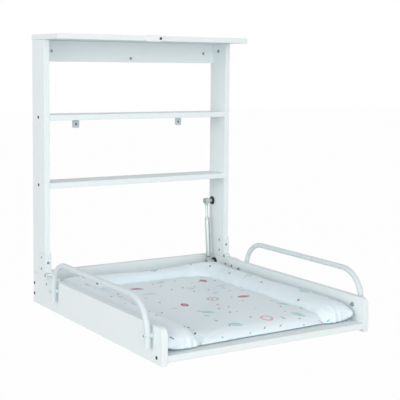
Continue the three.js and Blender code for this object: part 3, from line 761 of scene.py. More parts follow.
@dataclass
class GuardRails:
    """The bent tube rails with their saddles, bolts, cap nuts and end plugs."""

    finishes: Finishes
    tube_x: float = 328.5
    side_x: float = 315.0
    inner_x: float = 299.0
    tube_radius: float = 7.5
    bend: float = 78.0
    run_z: float = -587.0
    end_z: float = -700.0
    rear_y: float = -174.0
    front_y: float = -713.0
    bolt_z: float = -671.0
    seat_gap: float = 0.3
    saddle_radius: float = 7.0
    saddle_round: float = 0.4
    saddle_insets: tuple[float, ...] = (0.0, 1.0, 4.0)
    saddle_near_rows: int = 6
    hollow_reach: float = 0.95
    hollow_share: float = 0.92
    bolt_radius: float = 3.0
    bolt_gap: float = 0.2
    bolt_past: float = 3.8
    bolt_head: Profile = ((0, 0.8), (2.4, 0.8), (2.6, 3.0, 0.3), (4.4, 3.0, 1.2), (5.5, 0, 0.3))
    # The socket disc: the bolt's bare steel socket, made near black as painted shade of the recess.
    socket_shade_disc: Profile = ((0, 1.5), (1.6, 1.7, 0.3), (2.3, 2.5, 0.2), (2.45, 0.9), (0, 0.9))
    cap_nut: Profile = ((0, -6.5), (3.8, -6.3, 2.2), (4.2, -2.0, 0.4), (5.4, -1.6, 0.4), (5.4, 0), (0, 0))
    plug: Profile = ((0, -2.2), (7.1, -2.2, 1.2), (7.5, 0, 0.2), (5.3, 0), (5.3, 8.0), (0, 8.0))
    plug_gap: float = 0.1
    bend_steps: int = 20
    ring: int = 36

    def build(self) -> None:
        """Makes both rails and their fittings."""
        across = np.array([1.0, 0.0, 0.0])
        for side, sign in SIDES.items():
            path, normals = self.path(sign * self.tube_x)
            tube = swept_tube(path, normals, across, self.tube_radius, self.ring)
            name, node = f"{side}_rail_tube", f"{side}_guard_rail"
            self.finishes.make(name, tube, "white_steel", Body.TRAY, node, self.ring)
            for end, y in (("rear", self.rear_y), ("front", self.front_y)):
                self.fittings(f"{side}_{end}", sign, y)

    def path(self, x: float) -> tuple[Array, Array]:
        """The middle line: up one leg, round a quarter circle, along the run, round again and down.

        Args:
            x: the X of the rail's plane.

        Returns:
            The points, and at each a unit normal in the rail's plane.
        """
        quarter = np.linspace(0.0, math.pi / 2, self.bend_steps + 1)
        angle = np.concatenate([[0.0], quarter, quarter + math.pi / 2, [math.pi]])
        out = np.stack([np.zeros_like(angle), np.cos(angle), np.sin(angle)], axis=1)
        centre_z = self.run_z - self.bend
        ends = np.array([[x, self.rear_y - self.bend, centre_z], [x, self.front_y + self.bend, centre_z]])
        points = np.repeat(ends, self.bend_steps + 2, axis=0) + out * self.bend
        points[[0, -1], 2] = self.end_z
        return points, out

    def fittings(self, name: str, sign: int, y: float) -> None:
        """Makes the saddle, bolt, cap nut and plug of one leg, and a near-black disc in the bolt's bare
        steel socket as painted shade of the recess, each turned from its profile.

        Args:
            name: the side and end, as the nodes' names start.
            sign: -1 for left and 1 for right.
            y: the leg's Y.
        """
        make, out = self.finishes.make, (sign, 0, 0)
        seat = (sign * self.side_x, y, self.bolt_z)
        gap, depth = self.tube_x - self.side_x - self.tube_radius, self.inner_x - self.side_x
        pad, near = self.saddle_radius, self.seat_gap
        far = [(pad - inset, gap) for inset in self.saddle_insets]
        block = [(0, near), (pad, near, self.saddle_round), *far, (0, gap)]
        saddle = turned(block, seat, out, lift=self.wrap)
        make(f"{name}_saddle_pad", saddle, "white_steel", Body.TRAY, f"{name}_rail_saddle")

        head = gap + 2 * self.tube_radius + self.bolt_gap
        stem, shank = depth - self.bolt_past, self.bolt_radius
        bolt = turned([*shifted(self.bolt_head, head), (shank, head), (shank, stem), (0, stem)], seat, out)
        make(f"{name}_bolt_head", bolt, "white_steel", Body.TRAY, f"{name}_rail_bolt")
        # A near-black disc in the bolt's bare steel socket: painted shade of the recess.
        socket = turned(shifted(self.socket_shade_disc, head), seat, out, segments=24)
        make(f"{name}_socket_shade_disc", socket, "dark_steel", Body.TRAY)

        nut = turned(shifted(self.cap_nut, depth - near), seat, out)
        make(f"{name}_cap_nut", nut, "zinc_steel", Body.TRAY, f"{name}_rail_nut")
        foot = (sign * self.tube_x, y, self.end_z - self.plug_gap)
        plug = turned(self.plug, foot, (0, 0, 1))
        make(f"{name}_end_plug", plug, "white_plastic", Body.TRAY, f"{name}_rail_plug")

    def wrap(self, x: Array, y: Array) -> Array:
        """Lifts the saddle's far face to a hollow that follows the tube's round side.

        Args:
            x: the coordinate across the tube.
            y: the coordinate along the tube.

        Returns:
            The lift, which grows with the distance from the tube's middle line.
        """
        radius = self.tube_radius
        across = np.clip(np.abs(x), 0.0, radius * self.hollow_reach)
        far = np.arange(len(x))[:, None] >= self.saddle_near_rows
        return far * (radius - np.sqrt(radius**2 - across**2)) * self.hollow_share


# Gas strut


@dataclass
class GasStrut:
    """The gas strut between the right upright and the tray: mounts, eyes, rod, gland and cylinder."""

    finishes: Finishes
    upper: Point = (276.0, -18.0, -472.0)
    lower: Point = (276.0, -35.0, -669.0)
    wall_x: float = 299.0
    eye_half: float = 7.0
    top_reach: float = 15.0
    foot_reach: float = 14.8
    tube_top: float = 56.0
    tube_end: float = 15.0
    clip_gap: float = 0.3
    nose_gap: float = 0.4
    eye: Profile = ((4.3, -7.0), (9.0, -7.0, 1.4), (9.0, 7.0, 1.4), (4.3, 7.0, 0.4), (4.3, -7.0))
    shank_root: Profile = ((0, 7.8), (6.4, 7.8))
    shank_collar: Profile = ((6.4, -3.0, 0.8), (5.4, -1.6, 0.4), (5.4, 0, 0.4), (0, 0))
    rod: Profile = ((0, 15.2), (4.0, 15.2, 0.4), (4.0, 150.0), (0, 150.0))
    tube_rim: Profile = (
        (0, 40.0), (4.4, 40.0), (4.4, 1.2), (6.6, 0, 0.5), (7.5, 1.0, 0.6), (7.5, 6.0, 0.4),
        (6.9, 7.2, 0.8), (7.5, 8.4, 0.4),
    )
    tube_foot: Profile = ((7.5, -4.0, 1.5), (5.5, 0, 1.0), (0, 0))
    seal: Profile = ((4.3, 0.4), (4.3, -2.6, 0.4), (6.2, -2.8, 0.8), (6.5, 0.4), (4.3, 0.4))
    rivet: Profile = ((0, -8.8), (5.8, -8.8, 0.8), (7.0, -7.3), (4.0, -7.3), (4.0, 6.9), (0, 6.9))
    clip: Profile = ((4.3, 0), (7.0, 0, 0.3), (7.0, 1.6, 0.3), (4.3, 1.6), (4.3, 0))
    foot: Profile = (
        (0, 0.1), (13.0, 0.1), (13.0, 3.4, 1.2), (10.6, 5.2, 1.0), (8.6, 4.0, 1.0), (6.2, 4.6), (0, 4.6),
    )
    neck_root: Profile = ((0, 4.2), (5.6, 4.2))
    neck_nose: Profile = ((5.6, -1.4, 0.6), (7.4, -1.2, 0.3), (7.4, 0, 0.3))
    stud: Profile = ((4.0, 0), (4.0, 17.0, 0.6), (0, 17.0))
    blunt: Profile = ((0, 0),)

    def build(self) -> None:
        """Makes the strut's pieces. The cylinder is a tube with a rolled groove below its rim, closed at
        both ends."""
        make = self.finishes.make
        top, low = np.asarray(self.upper), np.asarray(self.lower)
        length = float(np.linalg.norm(low - top))
        way = (low - top) / length
        self.eye_end("strut_top", top, way, self.top_reach, Body.ROD, "strut_upper_eye")
        make("strut_ground_rod", turned(self.rod, top, way), "bright_steel", Body.ROD, "strut_rod")
        self.finishes.dress("strut_piston")
        line = [*shifted(self.tube_rim, self.tube_top), *shifted(self.tube_foot, length - self.tube_end)]
        tube = turned(line, top, way, segments=48)
        make("strut_ground_tube", tube, "bright_steel", Body.CYLINDER, "strut_cylinder")
        seal = turned(shifted(self.seal, self.tube_top), top, way)
        make("strut_rod_seal", seal, "grey_plastic", Body.CYLINDER, "strut_gland")

        self.eye_end("strut_foot", low, -way, self.foot_reach, Body.CYLINDER, "strut_lower_eye")
        rivet = turned(self.rivet, low, (1, 0, 0), segments=36)
        make("strut_foot_rivet", rivet, "zinc_steel", Body.CYLINDER, "strut_lower_pin")

        self.cup("strut_top_cup", top, self.stud, Body.CARCASS, "strut_upper_mount")
        self.cup("strut_foot_cup", low, self.blunt, Body.TRAY, "strut_lower_mount")
        start = self.wall_x - top[0] + self.eye_half + self.clip_gap
        washer = turned(shifted(self.clip, start), (self.wall_x, *top[1:]), (-1, 0, 0), segments=36)
        make("strut_top_clip", washer, "zinc_steel", Body.CARCASS, "strut_upper_clip")

    def eye_end(self, name: str, pivot: Array, way: Array, reach: float, body: Body, node: str) -> None:
        """Makes a bored eye, a ring with rounded rims, and its shank, a round stem with a collar.

        Args:
            name: how the two names start.
            pivot: the eye's middle.
            way: the direction towards the rod or cylinder.
            reach: the shank's end, as a distance from the pivot.
            body: the body that they ride on.
            node: the node that the eye replaces.
        """
        eye = turned(self.eye, pivot, (1, 0, 0), segments=44)
        self.finishes.make(f"{name}_eye", eye, "grey_plastic", body, node)
        shank = turned([*self.shank_root, *shifted(self.shank_collar, reach)], pivot, way)
        self.finishes.make(f"{name}_shank", shank, "grey_plastic", body)

    def cup(self, name: str, pivot: Array, tip: Profile, body: Body, node: str) -> None:
        """Makes a mount: a round black foot with a dished face, and a grey neck that ends in a tip.

        Args:
            name: its name.
            pivot: the pivot beside it.
            tip: the neck's last rows: the eye's stud, or a flat end.
            body: the body that it rides on.
            node: the node that it replaces.
        """
        seat, out = (self.wall_x, *pivot[1:]), (-1, 0, 0)
        self.finishes.make(name, turned(self.foot, seat, out, segments=48), "black_plastic", body, node)
        nose = self.wall_x - pivot[0] - self.eye_half - self.nose_gap
        neck = turned([*self.neck_root, *shifted(self.neck_nose + tip, nose)], seat, out)
        self.finishes.make(f"{name}_neck", neck, "grey_plastic", body)


# Turn button


@dataclass
class TurnButton:
    """The turn button on the top board's front edge, and its screw."""

    finishes: Finishes
    pivot: Point = (5.0, -181.0, 38.3)
    arm: float = 39.0
    half_width: float = 10.0
    thickness: float = 8.0
    rim: float = 3.0
    back_rim: float = 0.6
    gap: float = 0.3
    end_points: int = 25
    rim_points: int = 8
    screw: CrossScrew = CrossScrew(4.2, 2.0, 2.2, 30.0)

    def build(self) -> None:
        """Makes the button and its screw."""
        ring = 2 * self.end_points
        self.finishes.make("latch_button", self.slab(), "white_plastic", Body.LATCH, "turn_button", ring)
        seat = (self.pivot[0], self.pivot[1] - self.thickness - 2 * self.gap, self.pivot[2])
        head = self.screw.surface(seat, (0, -1, 0))
        self.finishes.make("latch_pivot_screw", head, "dark_steel", Body.CARCASS, "latch_screw")

    def slab(self) -> Surface:
        """A slab with round ends: its outline is drawn in towards the front by a quarter circle.

        Returns:
            The points and the faces, without the two flat caps.
        """
        half = np.linspace(-math.pi / 2, math.pi / 2, self.end_points)
        right = np.stack([np.cos(half), np.sin(half)], axis=1) * self.half_width
        outline = np.concatenate([right, -right - (self.arm, 0.0)])
        middle = np.repeat([[0.0, 0.0], [-self.arm, 0.0]], self.end_points, axis=0)
        turn = np.linspace(0.0, math.pi / 2, self.rim_points)
        inset = np.concatenate([[self.back_rim, 0.0], self.rim * (1 - np.cos(turn))])
        depth = np.concatenate([[0.0, self.back_rim], self.thickness - self.rim + self.rim * np.sin(turn)])
        share = 1.0 - inset[:, None, None] / self.half_width
        flat = middle[None] + (outline - middle)[None] * share
        points = np.empty((len(depth), len(outline), 3))
        points[..., 0] = self.pivot[0] + flat[..., 0]
        points[..., 1] = self.pivot[1] - self.gap - depth[:, None]
        points[..., 2] = self.pivot[2] + flat[..., 1]
        return points.reshape(-1, 3), grid_faces(len(depth), len(outline), True)


# Changing mat, in metres


class Motifs:
    """Scattered cells of a print, each with a place of its own, a chance turn and a chance number."""

    def __init__(self, shade: Shader, point: Socket, size: float, scatter: float, scale: float) -> None:
        """Reads each point's place from its cell's middle, turned by a chance angle.

        Args:
            shade: the material under construction.
            point: where the pattern is read.
            size: the cells' size.
            scatter: how far from a plain grid they lie, from 0 to 1.
            scale: how much larger than drawn a motif is printed.
        """
        self.shade = shade
        cell = shade.add("TexVoronoi")
        cell.voronoi_dimensions = "2D"
        shade.feed(cell.inputs["Scale"], 1.0 / size)
        shade.feed(cell.inputs["Randomness"], scatter)
        shade.feed(cell.inputs["Vector"], point)
        here, there = shade.parts(point), shade.parts(cell.outputs["Position"])
        chance = shade.add("SeparateColor")
        shade.feed(chance.inputs[0], cell.outputs["Color"])
        self.chance = chance.outputs[1]
        x, y = (shade.math("SUBTRACT", here[k], there[k]) for k in (0, 1))
        turn = shade.math("MULTIPLY", chance.outputs[0], 2 * math.pi)
        cos, sin = shade.math("COSINE", turn), shade.math("SINE", turn)
        along = shade.math("ADD", shade.math("MULTIPLY", x, cos), shade.math("MULTIPLY", y, sin))
        across = shade.math("SUBTRACT", shade.math("MULTIPLY", y, cos), shade.math("MULTIPLY", x, sin))
        self.spot = [shade.math("DIVIDE", along, scale), shade.math("DIVIDE", across, scale)]

    def disc(self, height: float, radius: float) -> Socket:
        """The distance outside a disc: the distance from its middle, less the radius.

        Args:
            height: its middle's place across the motif.
            radius: its radius.

        Returns:
            The distance's socket, below 0 inside.
        """
        math_of = self.shade.math
        y = math_of("SUBTRACT", self.spot[1], height)
        square = math_of("ADD", math_of("MULTIPLY", self.spot[0], self.spot[0]), math_of("MULTIPLY", y, y))
        return math_of("SUBTRACT", math_of("SQRT", square), radius)

    def bar(self, centre: tuple[float, float], half: tuple[float, float]) -> Socket:
        """The distance outside a bar: the larger of the two distances past its half sizes.

        Args:
            centre: its middle.
            half: its half length and half width.

        Returns:
            The distance's socket, below 0 inside.
        """
        math_of = self.shade.math
        x, y = (math_of("ABSOLUTE", math_of("SUBTRACT", self.spot[k], centre[k])) for k in (0, 1))
        return math_of("MAXIMUM", math_of("SUBTRACT", x, half[0]), math_of("SUBTRACT", y, half[1]))

    def printed(self, colour: Socket, marks: Sequence[tuple[Socket, float, float, Point]]) -> Socket:
        """Prints inks inside shapes, each in the cells whose chance number lies between two values.

        Args:
            colour: the colour below.
            marks: each shape's distance with the lower value, the upper value and the ink.

        Returns:
            The printed colour's socket.
        """
        math_of = self.shade.math
        for shape, low, high, ink in marks:
            above, below = math_of("GREATER_THAN", self.chance, low), math_of("LESS_THAN", self.chance, high)
            inside = math_of("MULTIPLY", math_of("LESS_THAN", shape, 0.0), math_of("MULTIPLY", above, below))
            colour = self.shade.mix(inside, colour, (*ink, 1.0))
        return colour


@dataclass(frozen=True)
class MatFilm:
    """The mat's printed film: pale ground, scattered motifs, a soft gloss and fine creases."""

    ground: Point = (0.800, 0.905, 0.955)
    big_cell: float = 0.118
    small_cell: float = 0.051
    big_scatter: float = 0.5
    small_scatter: float = 0.75
    big_scale: float = 1.38
    small_scale: float = 1.2
    turn_y: float = -0.700
    turn_length: float = 0.020
    top_z: float = -0.670
    roughness: float = 0.40
    specular: float = 0.3
    coat: float = 0.06
    coat_roughness: float = 0.25
    mottle: float = 0.015
    cloud: tuple[float, float] = (7.0, 2.0)
    wear: tuple[float, float] = (40.0, 3.0)
    creases: tuple[tuple[float, float, float], ...] = ((95.0, 4.0, 0.0006), (800.0, 2.0, 0.00006))
    dot_radius: float = 0.0027
    dash_half: tuple[float, float] = (0.0062, 0.0012)
    leaf_offset: float = 0.0115
    leaf_radius: float = 0.0190
    rib_half: tuple[float, float] = (0.0125, 0.0006)
    ring_radius: float = 0.0105
    ring_half: float = 0.0022
    bar_half: float = 0.0014
    bar_stack: tuple[Point, ...] = ((0.0, 0.005, 0.014), (0.003, -0.0005, 0.011), (-0.002, -0.006, 0.008))

    def material(self) -> bpy.types.Material:
        """Builds the film's material.

        Returns:
            The material.
        """
        shade = Shader("mat_film")
        flat = self.laid_flat(shade)
        small = Motifs(shade, flat, self.small_cell, self.small_scatter, self.small_scale)
        big = Motifs(shade, flat, self.big_cell, self.big_scatter, self.big_scale)
        ground = shade.mottle(self.ground, self.mottle, *self.cloud)
        shade.set("Base Color", self.big_marks(big, self.small_marks(small, ground)))
        shade.gloss(self.roughness, *self.wear)
        shade.set("Coat Weight", self.coat)
        shade.set("Specular IOR Level", self.specular)
        shade.set("Coat Roughness", self.coat_roughness)
        shade.relief(self.creases)
        return shade.material

    def laid_flat(self, shade: Shader) -> Socket:
        """The point on the film laid flat: X as it is, and past the turn at the front, Y lowered by the
        drop below the pad's top, so that the print runs on down the front ends.

        Args:
            shade: the material under construction.

        Returns:
            The flat point's socket.
        """
        x, y, z = shade.parts(shade.point)
        joined = shade.add("CombineXYZ")
        past = shade.math("DIVIDE", shade.math("SUBTRACT", self.turn_y, y), self.turn_length)
        share = shade.math("MINIMUM", shade.math("MAXIMUM", past, 0.0), 1.0)
        drop = shade.math("MINIMUM", shade.math("SUBTRACT", z, self.top_z), 0.0)
        shade.feed(joined.inputs[0], x)
        shade.feed(joined.inputs[1], shade.math("ADD", y, shade.math("MULTIPLY", share, drop)))
        return joined.outputs[0]

    def small_marks(self, motifs: Motifs, colour: Socket) -> Socket:
        """Prints dots and short dashes.

        Args:
            motifs: the cells that they lie in.
            colour: the colour below.

        Returns:
            The printed colour's socket.
        """
        dot = motifs.disc(0.0, self.dot_radius)
        dash = motifs.bar((0.0, 0.0), self.dash_half)
        return motifs.printed(colour, (
            (dot, 0.00, 0.16, (0.38, 0.02, 0.08)),
            (dot, 0.16, 0.26, (0.30, 0.60, 0.64)),
            (dot, 0.26, 0.44, (0.03, 0.02, 0.04)),
            (dash, 0.44, 0.58, (0.09, 0.08, 0.11)),
            (dash, 0.58, 0.66, (0.46, 0.05, 0.13)),
        ))

    def big_marks(self, motifs: Motifs, colour: Socket) -> Socket:
        """Prints ribbed leaves where two discs overlap, rings and stacks of bars.

        Args:
            motifs: the cells that they lie in.
            colour: the colour below.

        Returns:
            The printed colour's socket.
        """
        math_of = motifs.shade.math
        upper, lower = (motifs.disc(way * self.leaf_offset, self.leaf_radius) for way in (1, -1))
        rib = motifs.bar((0.0, 0.0), self.rib_half)
        leaf = math_of("MAXIMUM", math_of("MAXIMUM", upper, lower), math_of("MULTIPLY", rib, -1.0))
        ring = math_of("SUBTRACT", math_of("ABSOLUTE", motifs.disc(0.0, self.ring_radius)), self.ring_half)
        bars, *others = (motifs.bar((x, y), (half, self.bar_half)) for x, y, half in self.bar_stack)
        for other in others:
            bars = math_of("MINIMUM", bars, other)
        return motifs.printed(colour, (
            (leaf, 0.00, 0.24, (0.42, 0.015, 0.085)),
            (leaf, 0.24, 0.44, (0.40, 0.70, 0.74)),
            (ring, 0.44, 0.54, (0.72, 0.42, 0.47)),
            (ring, 0.54, 0.66, (0.52, 0.70, 0.74)),
            (bars, 0.66, 0.86, (0.58, 0.64, 0.69)),
            (leaf, 0.86, 0.94, (0.74, 0.56, 0.55)),
        ))


@dataclass
class ChangingMat:
    """The padded mat: a film cover over foam, with a raised border on three sides round a flat recess."""

    half_width: float = 292.0 * MM
    front_spread: float = 6.0 * MM
    front_reach: float = 11.0 * MM
    end_reach: float = 10.0 * MM
    front_lean: float = 0.028
    room: float = 297.6 * MM
    rear: float = -62.0 * MM
    front: float = -732.0 * MM
    base: float = -712.7 * MM
    recess_thickness: float = 28.0 * MM
    bolster_rise: float = 22.0 * MM
    rear_lift: float = 10.0 * MM
    bolster_width: float = 99.0 * MM
    rear_width: float = 74.0 * MM
    recess_corner: float = 60.0 * MM
    slope: float = 58.0 * MM
    seam_share: float = 0.42
    front_seam: float = 0.14
    corner_lift: float = 0.16
    edge_power: float = 14.0
    end_power: float = 17.0
    plan_corner: float = 13.0 * MM
    front_corner: float = 3.0 * MM
    corner_power: int = 6
    lift_power: int = 10
    side_pull: float = 4.0 * MM
    crown: float = 0.05
    border_edge: float = 24.0 * MM
    rear_start: float = 1.6
    grid: int = 160
    voxel: float = 6.2 * MM
    pressure: float = 4.0
    frames: int = 20
    cap: float = 7.0 * MM
    held_low: float = 5.0 * MM
    held_seam: float = 4.0 * MM
    seam_hold: float = 0.8
    tension: float = 12.0
    shear: float = 6.0
    bending: float = 0.3
    quality: int = 5
    skin: float = 8.0 * MM
    skin_rise: float = 6.0 * MM
    seam_depth: float = 5.0 * MM
    seam_width: float = 4.5 * MM
    pucker: float = 0.35
    pucker_waves: tuple[float, float] = (7.5 * MM, 23.0 * MM)
    pucker_phase: float = 1.3
    ripple: float = 1.2 * MM
    ripple_waves: tuple[float, float] = (9.0 * MM, 61.0 * MM)
    ripple_bend: float = 3.0
    ripple_width: float = 20.0 * MM
    dent: float = 0.6 * MM
    dent_waves: tuple[float, float, float, float] = (41.0 * MM, 57.0 * MM, 33.0 * MM, 71.0 * MM)
    dent_bend: float = 1.7
    tuck: float = 7.0 * MM
    tuck_width: float = 16.0 * MM
    tuck_inset: float = 6.0 * MM
    crease: float = 5.0 * MM
    crease_width: float = 8.0 * MM
    gather: float = 3.1 * MM
    gather_depth: float = 3.4 * MM
    gather_rise: float = 2.6 * MM
    gather_slant: float = 16.0 * MM
    gather_phase: float = 0.7
    gather_middle: float = 24.0 * MM
    gather_width: float = 30.0 * MM
    gather_length: float = 26.0 * MM
    sink: float = 0.2 * MM
    film: MatFilm = MatFilm()

    def build(self) -> None:
        points, faces = self.form()
        pad = placed("mat_form", merged_mesh("mat_form", points, faces.tolist(), MAT_MERGE_DISTANCE))
        pad.data = self.applied(pad, "REMESH", mode="VOXEL", voxel_size=self.voxel)
        self.swell(pad)
        mesh = self.applied(pad, "SUBSURF", levels=1, render_levels=1)
        mesh.name = "padded_mat"
        finished = placed("padded_mat", mesh)
        bpy.data.objects.remove(pad)
        self.press(mesh)
        mesh.polygons.foreach_set("use_smooth", np.ones(len(mesh.polygons), bool))
        mesh.materials.clear()
        mesh.materials.append(self.film.material())
        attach(finished, Body.TRAY.value)
        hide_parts("changing_mat")
        LOG.info("mat: %d points", len(mesh.vertices))

    def outside(self, x: Array, y: Array) -> Array:
        """The distance outside the recess, a rectangle open to the front with two rounded rear corners.

        Args:
            x: the points' X.
            y: the points' Y.

        Returns:
            The distance, below 0 in the recess.
        """
        across = np.abs(x) - (self.half_width - self.bolster_width) + self.recess_corner
        behind = y - (self.rear - self.rear_width) + self.recess_corner
        outer = np.hypot(np.maximum(across, 0), np.maximum(behind, 0))
        return outer + np.minimum(np.maximum(across, behind), 0) - self.recess_corner

    def form(self) -> Surface:
        """The pad before it swells: an upper and a lower sheet over a grid of u and v that meet at the
        rim. A sheet's height is a share of the thickness, which rises from the recess to the border
        and a little more at the rear, and the share falls to the seam at the rim as a high power of u and v.

        Returns:
            The points and the faces.
        """
        spread = np.sin(np.linspace(-0.5, 0.5, self.grid) * math.pi)
        u, v = np.meshgrid(spread, spread)
        middle, half = (self.rear + self.front) / 2, (self.rear - self.front) / 2
        ahead = unit(0.5 - v)
        corner = self.plan_corner + (self.front_corner - self.plan_corner) * ahead
        pull = corner * u**self.corner_power * v**self.corner_power
        x = u * (self.half_width + self.front_spread * ahead - pull - self.side_pull * u**2 * (1 - v**2))
        border = unit((np.abs(x) - self.half_width + self.bolster_width) / self.border_edge)
        front = ahead * (self.front_reach + self.end_reach * (border - 1))
        reach = half - self.side_pull * v**2 * (1 - u**2) + front
        y = middle + v * (reach - pull) + self.front_lean * x * ahead
        share = unit(self.outside(x, y) / self.slope)
        rise = 1 - (1 - share) ** 2
        crown = self.crown * (1 - u**2) * (1 - v**2)
        back = unit((y - self.rear) / self.rear_width + self.rear_start)
        thickness = self.recess_thickness * (1 + crown) + (self.bolster_rise + self.rear_lift * back) * rise
        fore = unit(-2 * v - 1)
        power = self.edge_power + (self.end_power - self.edge_power) * fore * border
        swell = np.sqrt((1 - np.abs(u) ** self.edge_power) * (1 - np.abs(v) ** power))
        lift = self.corner_lift * fore * u**self.lift_power
        seam = self.seam_share + (self.front_seam - self.seam_share) * fore + lift
        upper = self.base + thickness * (seam + (1 - seam) * swell)
        lower = self.base + thickness * seam * (1 - swell)
        points = np.concatenate([np.stack([x, y, z], axis=-1).reshape(-1, 3) for z in (upper, lower)])
        faces = grid_faces(self.grid, self.grid, False)
        return points, np.concatenate([faces, faces[:, ::-1] + self.grid * self.grid])

    @staticmethod
    def applied(pad: bpy.types.Object, kind: str, **settings: object) -> bpy.types.Mesh:
        """The mesh that a modifier makes of the pad.

        Args:
            pad: the pad.
            kind: the modifier's kind.
            settings: the modifier's settings.

        Returns:
            The new mesh.
        """
        modifier = pad.modifiers.new(kind.lower(), kind)
        for name, value in settings.items():
            setattr(modifier, name, value)
        mesh = ChangingMat.settled(pad)
        pad.modifiers.clear()
        return mesh

    @staticmethod
    def settled(made: bpy.types.Object) -> bpy.types.Mesh:
        """A new mesh: the object's own with its modifiers applied."""
        graph = bpy.context.evaluated_depsgraph_get()
        return bpy.data.meshes.new_from_object(made.evaluated_get(graph))

    def swell(self, pad: bpy.types.Object) -> None:
        """Swells the pad under pressure with its underside held, and caps how far a point moves.

        Args:
            pad: the pad.
        """
        start = self.read(pad.data)
        held = pad.vertex_groups.new(name="held")
        low = np.nonzero(start[:, 2] < self.base + self.held_low)[0]
        seam = np.nonzero(np.abs(self.outside(start[:, 0], start[:, 1])) < self.held_seam)[0]
        held.add(low.tolist(), 1.0, "REPLACE")
        held.add(seam.tolist(), self.seam_hold, "REPLACE")
        settings = pad.modifiers.new("swell", "CLOTH").settings
        settings.vertex_group_mass = held.name
        settings.use_pressure = True
        settings.uniform_pressure_force = self.pressure
        settings.effector_weights.gravity = 0.0
        settings.tension_stiffness = settings.compression_stiffness = self.tension
        settings.shear_stiffness = self.shear
        settings.bending_stiffness = self.bending
        settings.quality = self.quality
        scene = bpy.context.scene
        for step in range(1, self.frames + 1):
            scene.frame_set(step)
        mesh = self.settled(pad)
        scene.frame_set(1)
        move = self.read(mesh) - start
        size = np.linalg.norm(move, axis=1, keepdims=True)
        shift = move * (np.tanh(size / self.cap) * self.cap / np.maximum(size, 1e-9))
        LOG.info("mat swelled by up to %.1f mm before the cap", size.max() / MM)
        pad.modifiers.clear()
        self.write(pad.data, start + shift)

    @staticmethod
    def read(mesh: bpy.types.Mesh) -> Array:
        """The mesh's points as an array.

        Args:
            mesh: the mesh.

        Returns:
            The points.
        """
        points = np.empty(len(mesh.vertices) * 3, np.float32)
        mesh.vertices.foreach_get("co", points)
        return points.reshape(-1, 3).astype(float)

    @staticmethod
    def write(mesh: bpy.types.Mesh, points: Array) -> None:
        """Puts an array of points into the mesh."""
        mesh.vertices.foreach_set("co", points.astype(np.float32).ravel())
        mesh.update()

    def press(self, mesh: bpy.types.Mesh) -> None:
        """Presses in the welded seam round the recess with small puckers, gathers the film at the seam's
        front ends, adds soft dents, and keeps the pad off the floor board and inside the tray. Each is a
        sine wave, a bell curve of the distance from its line, or the product of the two.

        Args:
            mesh: the pad's mesh.
        """
        points = self.read(mesh)
        x, y, z = points.T.copy()
        upper = unit((z - self.base - self.skin) / self.skin_rise)
        away, near = self.outside(x, y), y - self.front
        along = np.where(y > self.rear - self.rear_width - self.recess_corner, x, y)
        short, long = self.pucker_waves
        pucker = 1 + self.pucker * np.sin(along / short) * np.sin(along / long + self.pucker_phase)
        drop = self.seam_depth * bell(away, self.seam_width) * pucker
        short, long = self.ripple_waves
        wander = self.ripple_bend * np.sin(along / long)
        wave = self.ripple * np.sin(along / short + wander) * bell(away, self.ripple_width)
        a, b, c, d = self.dent_waves
        dents = self.dent * (np.sin(x / a + self.dent_bend * np.sin(y / b)) + np.sin(y / c + x / d))
        forward = np.zeros_like(x)
        band = bell(near, self.gather_length)
        for sign in SIDES.values():
            across = sign * x - (self.half_width - self.bolster_width)
            drop = drop + self.tuck * bell(np.hypot(across, near - self.tuck_inset), self.tuck_width)
            fold = bell(across - self.gather_middle, self.gather_width) * band
            phase = across / self.gather + self.gather_phase * sign
            forward = forward + self.gather_depth * np.sin(phase) * fold
            wave = wave + self.gather_rise * np.sin(phase + near / self.gather_slant) * fold
            forward = forward + self.crease * bell(across, self.crease_width) * band
        points[:, 0] = np.clip(x, -self.room, self.room)
        points[:, 1] = y + unit((z - self.base) / self.skin) * forward
        points[:, 2] = np.maximum(z - upper * (drop - wave - dents), self.base - self.sink)
        self.write(mesh, points)


# Camera, light and floor


@dataclass(frozen=True)
class Lamp:
    """A square soft lamp: where it hangs, the point that it faces, its side and its power in watts."""

    name: str
    place: Point
    aim: Point
    size: float
    power: float


